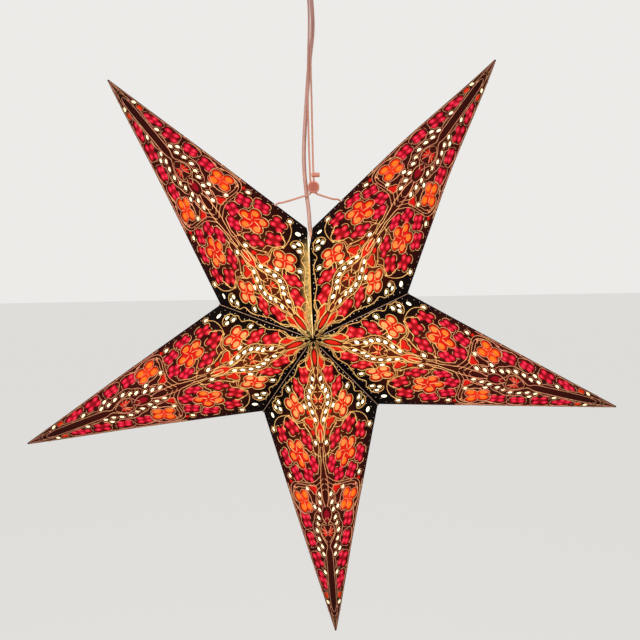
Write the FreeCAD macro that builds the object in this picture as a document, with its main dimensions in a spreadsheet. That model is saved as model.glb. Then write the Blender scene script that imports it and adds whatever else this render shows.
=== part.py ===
"""Five-pointed paper star lantern, hung from a ceiling rose by a tie cord and lit by a lamp on its cable.

Millimetres. The origin is the middle of the ceiling rose's top face, +Z is up, and the star faces -Y.
Each point of the star is one folded card with a tissue lining glued inside it. The five cards are glued
by narrow fins along the valleys. The seam between the two upper points isn't glued: the cord ties it.
"""
import FreeCAD, Part
import os
import Sketcher
from math import acos, cos, pi, radians, sin, tan

from FreeCAD import Placement, Rotation, Vector

doc = FreeCAD.newDocument("paper_star_lantern")

# ---------------------------------------------------------------- driving sizes
SIZES = [
    # the folded star
    ("star_radius", 300.0, "from the star's middle to a point's tip"),
    ("valley_radius", 93.3, "from the star's middle to the valley between two points"),
    ("half_depth", 83.4, "from the star's middle plane to the front and the back peak"),
    ("star_drop", 385.0, "from the ceiling down to the star's middle"),
    ("star_roll", 2.5, "degrees that the star hangs turned, anticlockwise from the front"),
    ("tip_blunt", 3.0, "length cut off each tip"),
    ("card_thickness", 0.5, "black card"),
    ("lining_thickness", 0.25, "tissue lining"),
    ("lining_margin", 4.0, "bare strip between the lining and the card's glued edge"),
    ("fin_height", 3.2, "how far a glued fin stands out of its valley"),
    ("fin_setback", 8.0, "where a fin starts, from the peak"),
    ("fin_chamfer", 2.0, "slope at a fin's two ends"),
    ("seam_gap", 1.0, "slit left at the tied seam"),
    ("tie_hole_radius", 1.7, "hole in the fold for the tie cord"),
    ("tie_hole_distance", 40.0, "from the top valley to a tie hole, along the fold"),
    # windows cut in each facet
    ("cluster_window", 6.8, "half diagonal of a four-dot window"),
    ("cluster_shrink", 0.9, "share by which the edge windows shrink towards the tip"),
    ("ring_radius", 23.5, "middle of the medallion to the windows round it"),
    ("lobe_radius", 15.5, "medallion's flower, at the lobes"),
    ("notch_radius", 10.5, "medallion's flower, between the lobes"),
    ("flower_window", 11.0, "half diagonal of a four-petal window"),
    ("leaf_length", 15.0, "leaf window"),
    ("leaf_width", 5.0, "leaf window"),
    ("heart_length", 15.0, "heart on the ridge"),
    ("heart_width", 7.0, "heart on one side of the ridge"),
    # cords
    ("cord_radius", 1.0, "tie and hanging cord"),
    ("cable_radius", 1.9, "lamp cable"),
    ("knot_radius", 3.2, "knots inside the upper points"),
    ("seat_gap", 0.3, "gap between a piece and what it rests against"),
    ("bead_radius", 5.6, "flat round bead that gathers the cord"),
    ("bead_thickness", 5.0, "bead, front to back"),
    ("bead_height", 133.0, "bead's middle above the star's middle"),
    ("bore_gap", 0.15, "clearance round a cord in its bore"),
    ("bead_edge", 0.75, "rounding of the bead's rims"),
    ("toggle_radius", 2.1, "small barrel on the cord above the bead"),
    ("toggle_length", 7.6, "barrel"),
    ("toggle_edge", 0.6, "rounding of the barrel's ends"),
    ("toggle_start", -1.6, "barrel's left end, across from the star's middle"),
    ("toggle_height", 144.3, "barrel's middle above the star's middle"),
    # lampholder and lamp
    ("holder_top", 70.0, "top of the lampholder above the star's middle"),
    ("holder_radius", 13.5, "lampholder shell"),
    ("holder_wall", 1.6, "lampholder shell"),
    ("cap_height", 16.0, "lampholder's domed cap"),
    ("cap_shoulder", 7.2, "from the domed cap's top down to its shoulder"),
    ("cap_roof", 2.6, "thickness of the domed cap at its top"),
    ("cap_neck_radius", 5.5, "top of the domed cap"),
    ("shell_length", 39.0, "lampholder shell below the cap"),
    ("contact_length", 22.0, "contact block in the shell"),
    ("contact_floor", 4.0, "solid end of the contact block"),
    ("lamp_cap_radius", 6.9, "screw cap of the lamp, 14 mm across its thread"),
    ("lamp_cap_length", 24.0, "screw cap of the lamp"),
    ("lamp_gap", 0.2, "clearance round the screw cap"),
    ("lamp_globe_radius", 22.5, "globe of the lamp"),
    ("lamp_neck_radius", 19.4, "wide end of the lamp's neck, inside the globe"),
    ("lamp_length", 78.0, "lamp over all"),
    # ceiling rose
    ("rose_radius", 45.0, "ceiling cup"),
    ("rose_height", 47.0, "ceiling cup"),
    ("rose_wall", 1.2, "ceiling cup"),
    ("rose_slope", 9.0, "how much narrower the cup's floor is than its rim"),
    ("rose_side", 35.0, "straight side of the cup, from its rim down to the slope"),
    ("strap_length", 76.0, "mounting strap"),
    ("strap_width", 22.0, "mounting strap"),
    ("strap_thickness", 1.6, "mounting strap"),
    ("strap_hole_spacing", 50.0, "between the two ceiling screws"),
    ("strap_hole_radius", 2.2, "ceiling screw holes"),
    ("rod_radius", 2.0, "threaded rod of the hook"),
    ("rod_gap", 0.25, "clearance round the rod in the cup"),
    ("nut_radius", 4.5, "nuts on the rod"),
    ("nut_height", 4.0, "nuts on the rod"),
    ("hook_radius", 8.0, "ring of the hook, to the middle of its wire"),
    ("hook_wire_radius", 1.6, "wire of the hook"),
    ("hook_opening", 50.0, "degrees left open in the ring"),
    ("hook_neck", 5.0, "rod between the lower nut and the ring"),
    ("hook_turn", 250.0, "degrees round the ring where its wire ends"),
    ("gland_offset", 12.0, "cable outlet behind the hook"),
    ("gland_radius", 4.6, "cable outlet"),
    ("gland_flange", 6.4, "cable outlet's flange under the cup"),
    ("gland_flange_height", 2.0, "cable outlet's flange under the cup"),
    ("gland_length", 11.0, "cable outlet over all"),
    ("terminal_length", 24.0, "terminal block"),
    ("terminal_width", 12.0, "terminal block"),
    ("terminal_height", 12.0, "terminal block"),
]

sheet = doc.addObject("Spreadsheet::Sheet", "Sizes")
for row, (alias, value, note) in enumerate(SIZES, start=1):
    sheet.set("A%d" % row, alias)
    sheet.set("B%d" % row, str(value))
    sheet.set("C%d" % row, note)
    sheet.setAlias("B%d" % row, alias)
doc.recompute()


def size(alias):
    """A driving size, read from the sheet."""
    return float(sheet.get(alias))


def evaluated(expression):
    """The present value of an expression over the sheet's cells."""
    return float(sheet.evalExpression(expression.replace("Sizes.", "")))


# ---------------------------------------------------------------- helpers for bound objects
parts = {}


def publish(piece, label):
    """Makes an object a sub-part: its label names its node and its file."""
    piece.Label = label
    parts[label] = piece
    return piece


def bind(piece, **expressions):
    """Binds properties to expressions; two underscores stand for a dot."""
    for name, expression in expressions.items():
        piece.setExpression(name.replace("__", "."), expression)
    return piece


def primitive(kind, name, x="0", y="0", z="0", turn=None, **sizes):
    """A Part primitive with its sizes and its place bound to the sheet."""
    piece = doc.addObject("Part::" + kind, name)
    bind(piece, **sizes)
    if turn:
        piece.Placement = Placement(Vector(), turn)
    bind(piece, Placement__Base__x=x, Placement__Base__y=y, Placement__Base__z=z)
    return piece


def fused(name, *pieces):
    """One object fused from several."""
    result = doc.addObject("Part::MultiFuse", name)
    result.Shapes = list(pieces)
    return result


def cut(name, base, *tools):
    """The base with each tool cut away in turn."""
    result = base
    for number, tool in enumerate(tools, start=1):
        step = doc.addObject("Part::Cut", name if number == len(tools) else "%s_%d" % (name, number))
        step.Base = result
        step.Tool = tool
        result = step
    return result


def turned(name, corners):
    """A body revolved about the vertical axis from a closed profile of (radius, height) expressions."""
    body = doc.addObject("PartDesign::Body", name + "_body")
    sketch = body.newObject("Sketcher::SketchObject", name + "_profile")
    plane = next(f for f in body.Origin.OriginFeatures if f.Role == "XZ_Plane")
    sketch.AttachmentSupport = (plane, "")
    sketch.MapMode = "FlatFace"
    places = [Vector(evaluated(radius), evaluated(height), 0) for radius, height in corners]
    count = len(corners)
    for i in range(count):
        sketch.addGeometry(Part.LineSegment(places[i], places[(i + 1) % count]))
    for i in range(count):
        sketch.addConstraint(Sketcher.Constraint("Coincident", i, 2, (i + 1) % count, 1))
    for i, (radius, height) in enumerate(corners):
        for kind, expression, value in (("DistanceX", radius, places[i].x), ("DistanceY", height, places[i].y)):
            index = sketch.addConstraint(Sketcher.Constraint(kind, -1, 1, i, 1, value))
            if value:
                sketch.setExpression("Constraints[%d]" % index, expression)
    solid = body.newObject("PartDesign::Revolution", name + "_turned")
    solid.Profile = sketch
    solid.ReferenceAxis = (sketch, ["V_Axis"])
    solid.Angle = 360.0
    return body


def shaped(name, shape, placement=None):
    """An object whose shape comes from code that reads the sheet."""
    piece = doc.addObject("Part::Feature", name)
    piece.Shape = shape
    if placement:
        piece.Placement = placement
    return piece


# ---------------------------------------------------------------- the star's geometry
STEP = 72.0  # degrees from one point of the star to the next
POINTS = {"upper_left": 36.0, "left": 108.0, "bottom": 180.0, "right": 252.0, "upper_right": 324.0}

radius = size("star_radius")
depth = size("half_depth")
side_sin = sin(radians(STEP / 2))
side_cos = cos(radians(STEP / 2))
TIP = Vector(0, 0, radius)
PEAK = Vector(0, -depth, 0)
VALLEY = Vector(size("valley_radius") * side_sin, 0, size("valley_radius") * side_cos)

facet_normal = (TIP - PEAK).cross(VALLEY - PEAK)
facet_normal.normalize()
if facet_normal.dot(PEAK) < 0:
    facet_normal = facet_normal.negative()
FACET_DISTANCE = facet_normal.dot(PEAK)  # every facet lies this far from the star's middle
RIDGE = (TIP - PEAK).normalize()
ACROSS = facet_normal.cross(RIDGE)
if ACROSS.dot(VALLEY - PEAK) < 0:
    ACROSS = ACROSS.negative()


def star_placement(turn):
    """Where a point of the star goes: turned about the star's middle, then hung."""
    return Placement(
        Vector(0, 0, -size("star_drop")), Rotation(Vector(0, 1, 0), -turn - size("star_roll"))
    )


def flipped(vector, left, back):
    """A vector of the front right facet, carried to one of the point's other facets."""
    return Vector(-vector.x if left else vector.x, -vector.y if back else vector.y, vector.z)


def folded_shell(outside, inside):
    """The folded sheet of one point, between two depths below the outer faces."""
    outer = 1 - outside / FACET_DISTANCE
    inner = 1 - inside / FACET_DISTANCE
    faces = []
    for left in (False, True):
        for back in (False, True):
            tip, peak, valley = (flipped(v, left, back) for v in (TIP, PEAK, VALLEY))
            faces.append([tip * outer, peak * outer, valley * outer])
            faces.append([tip * inner, peak * inner, valley * inner])
            faces.append([peak * outer, valley * outer, valley * inner, peak * inner])
    shell = Part.Shell([Part.Face(Part.makePolygon(corners + corners[:1])) for corners in faces])
    solid = Part.Solid(shell)
    solid.fix(1e-6, 1e-6, 1e-6)
    if solid.Volume < 0:
        solid.reverse()
    return solid


def blunting():
    """The block that takes the sharp end off a tip."""
    side = 0.2 * radius
    return Part.makeBox(side, side, side, Vector(-side / 2, -side / 2, radius - size("tip_blunt")))


def seam_slab(left, half_width):
    """A slab along the radial plane through one of a point's two valleys."""
    long = size("valley_radius") + size("fin_height") + 2 * depth
    slab = Part.makeBox(2 * half_width, 2 * long, long, Vector(-half_width, -long, 0))
    slab.rotate(Vector(), Vector(0, 1, 0), -STEP / 2 if left else STEP / 2)
    return slab


def prism(corners, direction):
    """A flat outline pushed along a direction."""
    return Part.Face(Part.makePolygon(corners + corners[:1])).extrude(direction)


# ---------------------------------------------------------------- windows in the cards
# A window's middle is a share of the way from the peak to the tip and a share of the way from the peak
# to the valley, so that the ornament follows the facet. Its outline is in millimetres round that middle.
MEDALLION = (0.264, 0.418)
RING_COUNT = 7
RING_START = -80.0
LOBES = 5
MEDALLION_TURN = 18.0
EDGE_CLUSTER_TURN = 20.0
FLOWER_TURN = 30.0
CLUSTERS = [(0.064, 0.184), (0.083, 0.295)]
EDGE_CLUSTERS = [(0.502, 0.405), (0.583, 0.332), (0.675, 0.240), (0.765, 0.172), (0.833, 0.117)]
FLOWERS = [(0.112, 0.405), (0.431, 0.418)]
LEAVES = [(0.044, 0.086, 8.0), (0.225, 0.138, -62.0), (0.427, 0.214, 75.0)]
RIDGE_FORMS = [(0.185, 0.85, 0.85), (0.279, 1.15, 0.55), (0.565, 0.75, 0.5), (0.628, 1.0, 1.0)]


def around(count, start, reach):
    """Corners evenly spaced about a middle; the reach may alternate between several lengths."""
    corners = []
    for i in range(count):
        angle = radians(start + 360.0 * i / count)
        length = reach[i % len(reach)]
        corners.append((length * cos(angle), length * sin(angle)))
    return corners


def window_outlines():
    """Each window of a facet: its middle on the facet, and its corners round it."""
    windows = [(MEDALLION, around(2 * LOBES, MEDALLION_TURN, (size("lobe_radius"), size("notch_radius"))))]
    square = around(4, 0.0, (size("cluster_window"),))
    for along, over in around(RING_COUNT, RING_START, (size("ring_radius"),)):
        windows.append((MEDALLION, [(along + x, over + y) for x, y in square]))
    windows += [(middle, square) for middle in CLUSTERS]
    reach = size("cluster_window")
    for middle in EDGE_CLUSTERS:
        windows.append((middle, around(4, EDGE_CLUSTER_TURN, (reach,))))
        reach *= size("cluster_shrink")
    windows += [(middle, around(4, FLOWER_TURN, (size("flower_window"),))) for middle in FLOWERS]
    half_length, half_width = size("leaf_length") / 2, size("leaf_width") / 2
    for along, over, turn in LEAVES:
        c, s = cos(radians(turn)), sin(radians(turn))
        leaf = [(half_length, 0), (0, half_width), (-half_length, 0), (0, -half_width)]
        windows.append(((along, over), [(x * c - y * s, x * s + y * c) for x, y in leaf]))
    for along, long, wide in RIDGE_FORMS:
        half, top = size("heart_length") / 2 * long, size("heart_width") * wide
        windows.append(((along, 0.0), [(-half, 0), (half, 0), (-half / 2, top)]))
    return windows


def window_tools():
    """The windows of one facet as prisms through the card, and mirrored on to the other three."""
    outside, inside = facet_normal * 1.0, facet_normal * -(size("card_thickness") + 1.0)
    tools = []
    for (along, over), outline in window_outlines():
        middle = PEAK + (TIP - PEAK) * along + (VALLEY - PEAK) * over
        corners = [middle + RIDGE * x + ACROSS * y + outside for x, y in outline]
        for left in (False, True):
            for back in (False, True):
                carried = [flipped(corner, left, back) for corner in corners]
                tools.append(prism(carried, flipped(inside - outside, left, back)))
    return tools


def fins():
    """The glued fins that stand out of a point's four valleys' edges."""
    thick, seat = size("card_thickness"), 0.2 * size("card_thickness")
    start, high, slope = size("fin_setback"), size("fin_height"), size("fin_chamfer")
    run = (VALLEY - PEAK).normalize()
    inward = Vector(-side_cos, 0, side_sin)
    outward = inward.cross(run)
    if outward.dot(PEAK) < 0:
        outward = outward.negative()
    corners = [
        PEAK + run * start - outward * seat,
        VALLEY - outward * seat,
        VALLEY - run * slope + outward * high,
        PEAK + run * (start + slope) + outward * high,
    ]
    result = []
    for left in (False, True):
        for back in (False, True):
            carried = [flipped(corner, left, back) for corner in corners]
            result.append(prism(carried, flipped(inward * thick, left, back)))
    return result


def seam_cuts(left):
    """What the tied seam takes off an upper point: the slit, the cable's way in and the tie hole."""
    half_slit = size("seam_gap") / 2
    half_way = size("cable_radius") + 3 * size("seat_gap")
    top = size("valley_radius") + size("fin_height")
    low = size("valley_radius") - 10 * size("cable_radius")
    long = 2 * depth
    corners = [(-half_way, top), (half_way, top), (half_slit, low), (-half_slit, low)]
    way = prism([Vector(x, -long / 2, z) for x, z in corners], Vector(0, long, 0))
    way.rotate(Vector(), Vector(0, 1, 0), -STEP / 2 if left else STEP / 2)
    valley = flipped(VALLEY, left, False)
    fold = (TIP - valley).normalize()
    outward = Vector(-fold.z, 0, fold.x) if left else Vector(fold.z, 0, -fold.x)
    hole_length = 4 * size("knot_radius")
    middle = valley + fold * size("tie_hole_distance")
    hole = Part.makeCylinder(
        size("tie_hole_radius"), hole_length, middle - outward * (hole_length / 2), outward
    )
    return [seam_slab(left, half_slit), way, hole]


def make_cards():
    """The five folded cards. The two upper ones are cut back at the tied seam."""
    card = folded_shell(0.0, size("card_thickness")).cut(blunting())
    card = card.cut(window_tools())
    card = card.fuse(fins()).removeSplitter()
    for name, turn in POINTS.items():
        shape = card
        if name.startswith("upper"):
            shape = card.cut(seam_cuts(left=name == "upper_right"))
        publish(shaped(name + "_card_shape", shape, star_placement(turn)), name + "_card")


def make_linings():
    """The five tissue linings, each one sheet glued inside its card and short of the glued edges."""
    near, far = size("card_thickness"), size("card_thickness") + size("lining_thickness")
    lining = folded_shell(near, far).cut(blunting())
    lining = lining.cut([seam_slab(left, size("lining_margin")) for left in (False, True)])
    for name, turn in POINTS.items():
        shape = lining
        if name.startswith("upper"):
            shape = lining.cut(seam_cuts(left=name == "upper_right"))
        publish(shaped(name + "_lining_shape", shape, star_placement(turn)), name + "_lining")


# ---------------------------------------------------------------- cords
def tube(label, points, tube_radius):
    """A cord: straight runs joined by tangent arcs, each as large as its two runs allow."""
    edges = []
    tail = points[0]
    radii = []
    length = 0.0
    for before, corner, after in zip(points, points[1:], points[2:]):
        into, out = corner - before, after - corner
        shorter = min(into.Length, out.Length)
        into.normalize()
        out.normalize()
        half_turn = acos(max(-1.0, min(1.0, into.dot(out)))) / 2
        setback = 0.45 * shorter
        bend = setback / tan(half_turn)
        start, end = corner - into * setback, corner + out * setback
        middle = corner + (out - into).normalize() * (bend / cos(half_turn) - bend)
        edges.append(Part.LineSegment(tail, start).toShape())
        edges.append(Part.Arc(start, middle, end).toShape())
        length += (start - tail).Length + 2 * half_turn * bend
        radii.append(bend)
        tail = end
    edges.append(Part.LineSegment(tail, points[-1]).toShape())
    length += (points[-1] - tail).Length
    path = Part.Wire(edges)
    first = (points[1] - points[0]).normalize()
    section = Part.Wire([Part.makeCircle(tube_radius, points[0], first)])
    solid = path.makePipeShell([section], True, False)
    expected = pi * tube_radius ** 2 * length
    print(
        "%s: %.1f mm long, volume %.4f of section times length, bends in diameters: %s"
        % (label, length, solid.Volume / expected, " ".join("%.1f" % (r / (2 * tube_radius)) for r in radii))
    )
    return solid


def hung(x, y, z):
    """A point given from the star's middle, in the lantern's frame."""
    return Vector(x, y, z - size("star_drop"))


def tie_hole(left_card):
    """The middle of a tie hole and the outward direction of its fold, in the lantern's frame."""
    placement = star_placement(POINTS["upper_left" if left_card else "upper_right"])
    valley = flipped(VALLEY, not left_card, False)
    fold = (TIP - valley).normalize()
    outward = Vector(fold.z, 0, -fold.x) if left_card else Vector(-fold.z, 0, fold.x)
    middle = placement.multVec(valley + fold * size("tie_hole_distance"))
    return middle, placement.Rotation.multVec(outward)


def knot_place(left_card):
    """Where a knot sits inside the fold, resting against both of its faces."""
    middle, outward = tie_hole(left_card)
    fold = (TIP - VALLEY).normalize()
    square_on = facet_normal - fold * facet_normal.dot(fold)
    half_fold = acos(Vector(-fold.z, 0, fold.x).dot(square_on) / -square_on.Length)
    rest = size("knot_radius") + size("card_thickness") + size("lining_thickness") + size("seat_gap")
    return middle - outward * (rest / cos(half_fold)), outward


# Routes, from the star's middle: across, front to back and up. The cord's two strands hang from the hook
# to the bead, then part; the cable starts on their right, crosses behind them and enters at the seam.
FRONT = -1.5  # the strands pass this far in front of the star's middle plane
LEFT_STRAND = [
    (-2.5, -0.1, 307.5), (-1.5, -0.7, 296.0), (-1.7, -1.3, 275.0), (-3.1, FRONT, 249.0),
    (-3.8, FRONT, 213.0), (-3.6, FRONT, 168.0), (-2.8, FRONT, 140.0),
]
RIGHT_STRAND = [
    (2.5, -0.1, 307.5), (1.2, -0.7, 296.0), (0.6, -1.3, 275.0), (-0.8, FRONT, 249.0),
    (-0.3, FRONT, 213.0), (-0.2, FRONT, 168.0), (0.2, FRONT, 140.0),
]
CROWN_TURNS = (157.5, 112.5, 67.5, 22.5)  # corners of the half octagon that the cord makes on the hook
CABLE = [
    (0.2, 12.4, 315.0), (1.4, 6.6, 299.0), (2.1, 3.4, 276.0), (-1.8, 2.6, 249.0), (-5.0, 2.7, 213.0),
    (-8.6, 2.7, 170.0), (-8.4, 3.0, 147.0), (-6.7, 2.8, 128.0), (-4.6, 1.5, 110.0), (-4.0, 0.2, 93.0),
]


def hanging_route():
    """The hanging cord: knotted inside the left point, up through the bead, over the hook and back."""
    wire = Vector(0, 0, hook_middle() - size("hook_radius"))
    corner = (size("hook_wire_radius") + size("cord_radius") + size("bore_gap")) / cos(radians(22.5))
    bead_foot = size("bead_height") - size("bead_radius")
    low_left, low_right = (hung(x, FRONT, bead_foot - 0.2) for x in (-1.8, 1.3))
    legs = []
    for left_card, low, strand in ((True, low_left, LEFT_STRAND), (False, low_right, RIGHT_STRAND)):
        middle, outward = knot_place(left_card)
        hole, _ = tie_hole(left_card)
        side = -1 if left_card else 1
        legs.append(
            [middle, hole + outward * 2.0, hole + outward * 3.2 + Vector(-side * 4.5, -0.4, 0.4)]
            + [low + Vector(side * 5.0, 0, -1.6), low]
            + [hung(*point) for point in reversed(strand)]
        )
    crown = [
        wire + Vector(corner * cos(radians(turn)), 0, corner * sin(radians(turn))) for turn in CROWN_TURNS
    ]
    return legs[0] + crown + legs[1][::-1]


def hook_middle():
    """Height of the middle of the hook's ring."""
    return -(
        size("rose_height") + size("nut_height") + size("hook_neck") + size("hook_radius")
    )


def make_cords():
    """The hanging cord with its knots, bead and barrel, and the lamp cable."""
    route = hanging_route()
    cord = tube("hanging_cord", route, size("cord_radius"))
    bore = tube("bore of the bead and the barrel", route, size("cord_radius") + size("bore_gap"))
    publish(shaped("hanging_cord_shape", cord), "hanging_cord")
    for left_card, label in ((True, "left_knot"), (False, "right_knot")):
        middle, _ = knot_place(left_card)
        knot = Part.makeSphere(size("knot_radius"), middle).cut(cord)
        publish(shaped(label + "_shape", knot), label)
    bead_middle = hung(0, FRONT, size("bead_height"))
    half = size("bead_thickness") / 2
    bead = Part.makeCylinder(
        size("bead_radius"), 2 * half, bead_middle - Vector(0, half, 0), Vector(0, 1, 0)
    )
    bead = bead.makeFillet(size("bead_edge"), [edge for edge in bead.Edges if edge.isClosed()])
    publish(shaped("cord_bead_shape", bead.cut(bore)), "cord_bead")
    barrel_start = hung(size("toggle_start"), FRONT, size("toggle_height"))
    barrel = Part.makeCylinder(
        size("toggle_radius"), size("toggle_length"), barrel_start, Vector(1, 0, 0)
    )
    barrel = barrel.makeFillet(size("toggle_edge"), [edge for edge in barrel.Edges if edge.isClosed()])
    publish(shaped("cord_barrel_shape", barrel.cut(bore)), "cord_barrel")
    block_foot = Vector(0, size("gland_offset"), -size("strap_thickness") - size("terminal_height"))
    outlet_foot = Vector(0, size("gland_offset"), -size("rose_height") - size("gland_flange_height"))
    route = [block_foot, outlet_foot - Vector(0, 0, size("gland_flange_height"))]
    route += [hung(*point) for point in CABLE]
    route += [hung(0, 0, size("holder_top") + 8.0), hung(0, 0, size("holder_top") - 2 * size("holder_wall"))]
    publish(shaped("power_cable_shape", tube("power_cable", route, size("cable_radius"))), "power_cable")


# ---------------------------------------------------------------- lampholder and lamp
def make_lampholder():
    """Domed cap, shell and contact block of the lampholder, and the sealed lamp screwed into it."""
    top = "-Sizes.star_drop + Sizes.holder_top"
    joint = top + " - Sizes.cap_height"
    shoulder = top + " - Sizes.cap_shoulder"
    bore = "Sizes.cable_radius + Sizes.bore_gap"
    inner = "Sizes.holder_radius - Sizes.holder_wall"
    cap = turned(
        "lampholder_cap",
        [
            (bore, top),
            ("Sizes.cap_neck_radius", top),
            ("Sizes.holder_radius", shoulder),
            ("Sizes.holder_radius", joint),
            (inner, joint),
            (inner, shoulder + " - Sizes.holder_wall"),
            (bore, top + " - Sizes.cap_roof"),
        ],
    )
    publish(cap, "lampholder_cap")
    low = joint + " - Sizes.shell_length"
    shell = turned(
        "lampholder_shell",
        [
            (inner, joint),
            ("Sizes.holder_radius", joint),
            ("Sizes.holder_radius", low),
            (inner, low),
        ],
    )
    publish(shell, "lampholder_shell")
    block_top = joint
    block_low = joint + " - Sizes.contact_length"
    hole = "Sizes.lamp_cap_radius + Sizes.lamp_gap"
    floor = block_top + " - Sizes.contact_floor"
    block = turned(
        "contact_block",
        [("0", block_top), (inner, block_top), (inner, block_low), (hole, block_low), (hole, floor), ("0", floor)],
    )
    publish(block, "contact_block")
    lamp_top = floor + " - Sizes.lamp_gap"
    globe = lamp_top + " - Sizes.lamp_length + Sizes.lamp_globe_radius"
    cap_low = lamp_top + " - Sizes.lamp_cap_length"
    screw = primitive(
        "Cylinder", "lamp_screw", z=cap_low, Radius="Sizes.lamp_cap_radius", Height="Sizes.lamp_cap_length"
    )
    neck = primitive(
        "Cone",
        "lamp_neck",
        z=globe,
        Radius1="Sizes.lamp_neck_radius",
        Radius2="Sizes.lamp_cap_radius",
        Height="Sizes.lamp_length - Sizes.lamp_globe_radius - Sizes.lamp_cap_length",
    )
    glass = primitive("Sphere", "lamp_globe", z=globe, Radius="Sizes.lamp_globe_radius")
    publish(fused("lamp_whole", screw, neck, glass), "lamp")


# ---------------------------------------------------------------- ceiling rose
def make_rose():
    """Cup, mounting strap, hook with its rod and nuts, cable outlet and terminal block."""
    floor = "-Sizes.rose_height"
    wall = "Sizes.rose_wall"
    low_radius = "Sizes.rose_radius - Sizes.rose_slope"
    cup = turned(
        "cup",
        [
            ("0", floor),
            (low_radius, floor),
            ("Sizes.rose_radius", "-Sizes.rose_side"),
            ("Sizes.rose_radius", "0"),
            ("Sizes.rose_radius - " + wall, "0"),
            ("Sizes.rose_radius - " + wall, "-Sizes.rose_side"),
            (low_radius + " - " + wall, floor + " + " + wall),
            ("0", floor + " + " + wall),
        ],
    )
    rod_hole = primitive(
        "Cylinder", "cup_rod_hole", z="-2 * Sizes.rose_height",
        Radius="Sizes.rod_radius + Sizes.rod_gap", Height="4 * Sizes.rose_height",
    )
    outlet_hole = primitive(
        "Cylinder", "cup_outlet_hole", y="Sizes.gland_offset", z="-2 * Sizes.rose_height",
        Radius="Sizes.gland_radius", Height="4 * Sizes.rose_height",
    )
    publish(cut("cup_with_holes", cup, rod_hole, outlet_hole), "ceiling_cup")

    strap = primitive(
        "Box", "strap_blank", x="-Sizes.strap_length / 2", y="-Sizes.strap_width / 2", z="-Sizes.strap_thickness",
        Length="Sizes.strap_length", Width="Sizes.strap_width", Height="Sizes.strap_thickness",
    )
    holes = []
    for name, x, hole_radius in (
        ("strap_left_hole", "-Sizes.strap_hole_spacing / 2", "Sizes.strap_hole_radius"),
        ("strap_right_hole", "Sizes.strap_hole_spacing / 2", "Sizes.strap_hole_radius"),
        ("strap_rod_hole", "0", "Sizes.rod_radius"),
    ):
        holes.append(primitive("Cylinder", name, x=x, z="-2 * Sizes.strap_thickness",
                               Radius=hole_radius, Height="4 * Sizes.strap_thickness"))
    publish(cut("strap_with_holes", strap, *holes), "mounting_strap")

    for label, top in (
        ("upper_nut", "-Sizes.strap_thickness"),
        ("lower_nut", "-Sizes.rose_height"),
    ):
        nut = turned(
            label,
            [
                ("Sizes.rod_radius", top),
                ("Sizes.nut_radius", top),
                ("Sizes.nut_radius", top + " - Sizes.nut_height"),
                ("Sizes.rod_radius", top + " - Sizes.nut_height"),
            ],
        )
        publish(nut, label)

    rod_length = "Sizes.rose_height + Sizes.nut_height + Sizes.hook_neck"
    rod = primitive("Cylinder", "hook_rod", z="-(%s)" % rod_length, Radius="Sizes.rod_radius", Height=rod_length)
    ring = primitive(
        "Torus", "hook_ring", z="-(%s + Sizes.hook_radius)" % rod_length,
        turn=Rotation(Vector(0, 1, 0), 90) * Rotation(Vector(0, 0, 1), size("hook_turn")),
        Radius1="Sizes.hook_radius", Radius2="Sizes.hook_wire_radius", Angle3="360 - Sizes.hook_opening",
    )
    publish(fused("hook_whole", rod, ring), "ceiling_hook")

    outlet_bore = "Sizes.cable_radius + Sizes.bore_gap"
    body = primitive(
        "Cylinder", "outlet_body", y="Sizes.gland_offset",
        z="-Sizes.rose_height - Sizes.gland_flange_height",
        Radius="Sizes.gland_radius", Height="Sizes.gland_length",
    )
    flange = primitive(
        "Cylinder", "outlet_flange", y="Sizes.gland_offset",
        z="-Sizes.rose_height - Sizes.gland_flange_height",
        Radius="Sizes.gland_flange", Height="Sizes.gland_flange_height",
    )
    bore = primitive(
        "Cylinder", "outlet_bore", y="Sizes.gland_offset", z="-2 * Sizes.rose_height",
        Radius=outlet_bore, Height="4 * Sizes.rose_height",
    )
    publish(cut("outlet_bored", fused("outlet_blank", body, flange), bore), "cable_outlet")
    block = primitive(
        "Box", "terminal_blank", x="-Sizes.terminal_length / 2", y="Sizes.gland_offset - Sizes.terminal_width / 2",
        z="-Sizes.strap_thickness - Sizes.terminal_height",
        Length="Sizes.terminal_length", Width="Sizes.terminal_width", Height="Sizes.terminal_height",
    )
    publish(block, "terminal_block")


make_cards()
make_linings()
make_cords()
make_lampholder()
make_rose()
doc.recompute()

# ---------------------------------------------------------------- checks and files
for piece in doc.Objects:
    if "Invalid" in piece.State or "Error" in piece.State:
        raise RuntimeError("%s is %s" % (piece.Name, piece.State))
for label, piece in parts.items():
    shape = piece.Shape
    if shape.isNull() or not shape.isValid() or len(shape.Solids) != 1:
        raise RuntimeError("%s: null %s, valid %s, solids %d"
                           % (label, shape.isNull(), shape.isValid(), len(shape.Solids)))

os.makedirs("parts", exist_ok=True)
for label, piece in parts.items():
    piece.Shape.exportStep("parts/%s.step" % label)
print("%d sub-parts written" % len(parts))
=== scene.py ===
"""Looks of the paper star lantern: cut cards with raised gold lines, lit tissue, cords and fittings."""
import functools
import math
import random

import bpy
import numpy as np
from mathutils import Matrix, Vector
from mathutils.geometry import delaunay_2d_cdt


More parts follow.
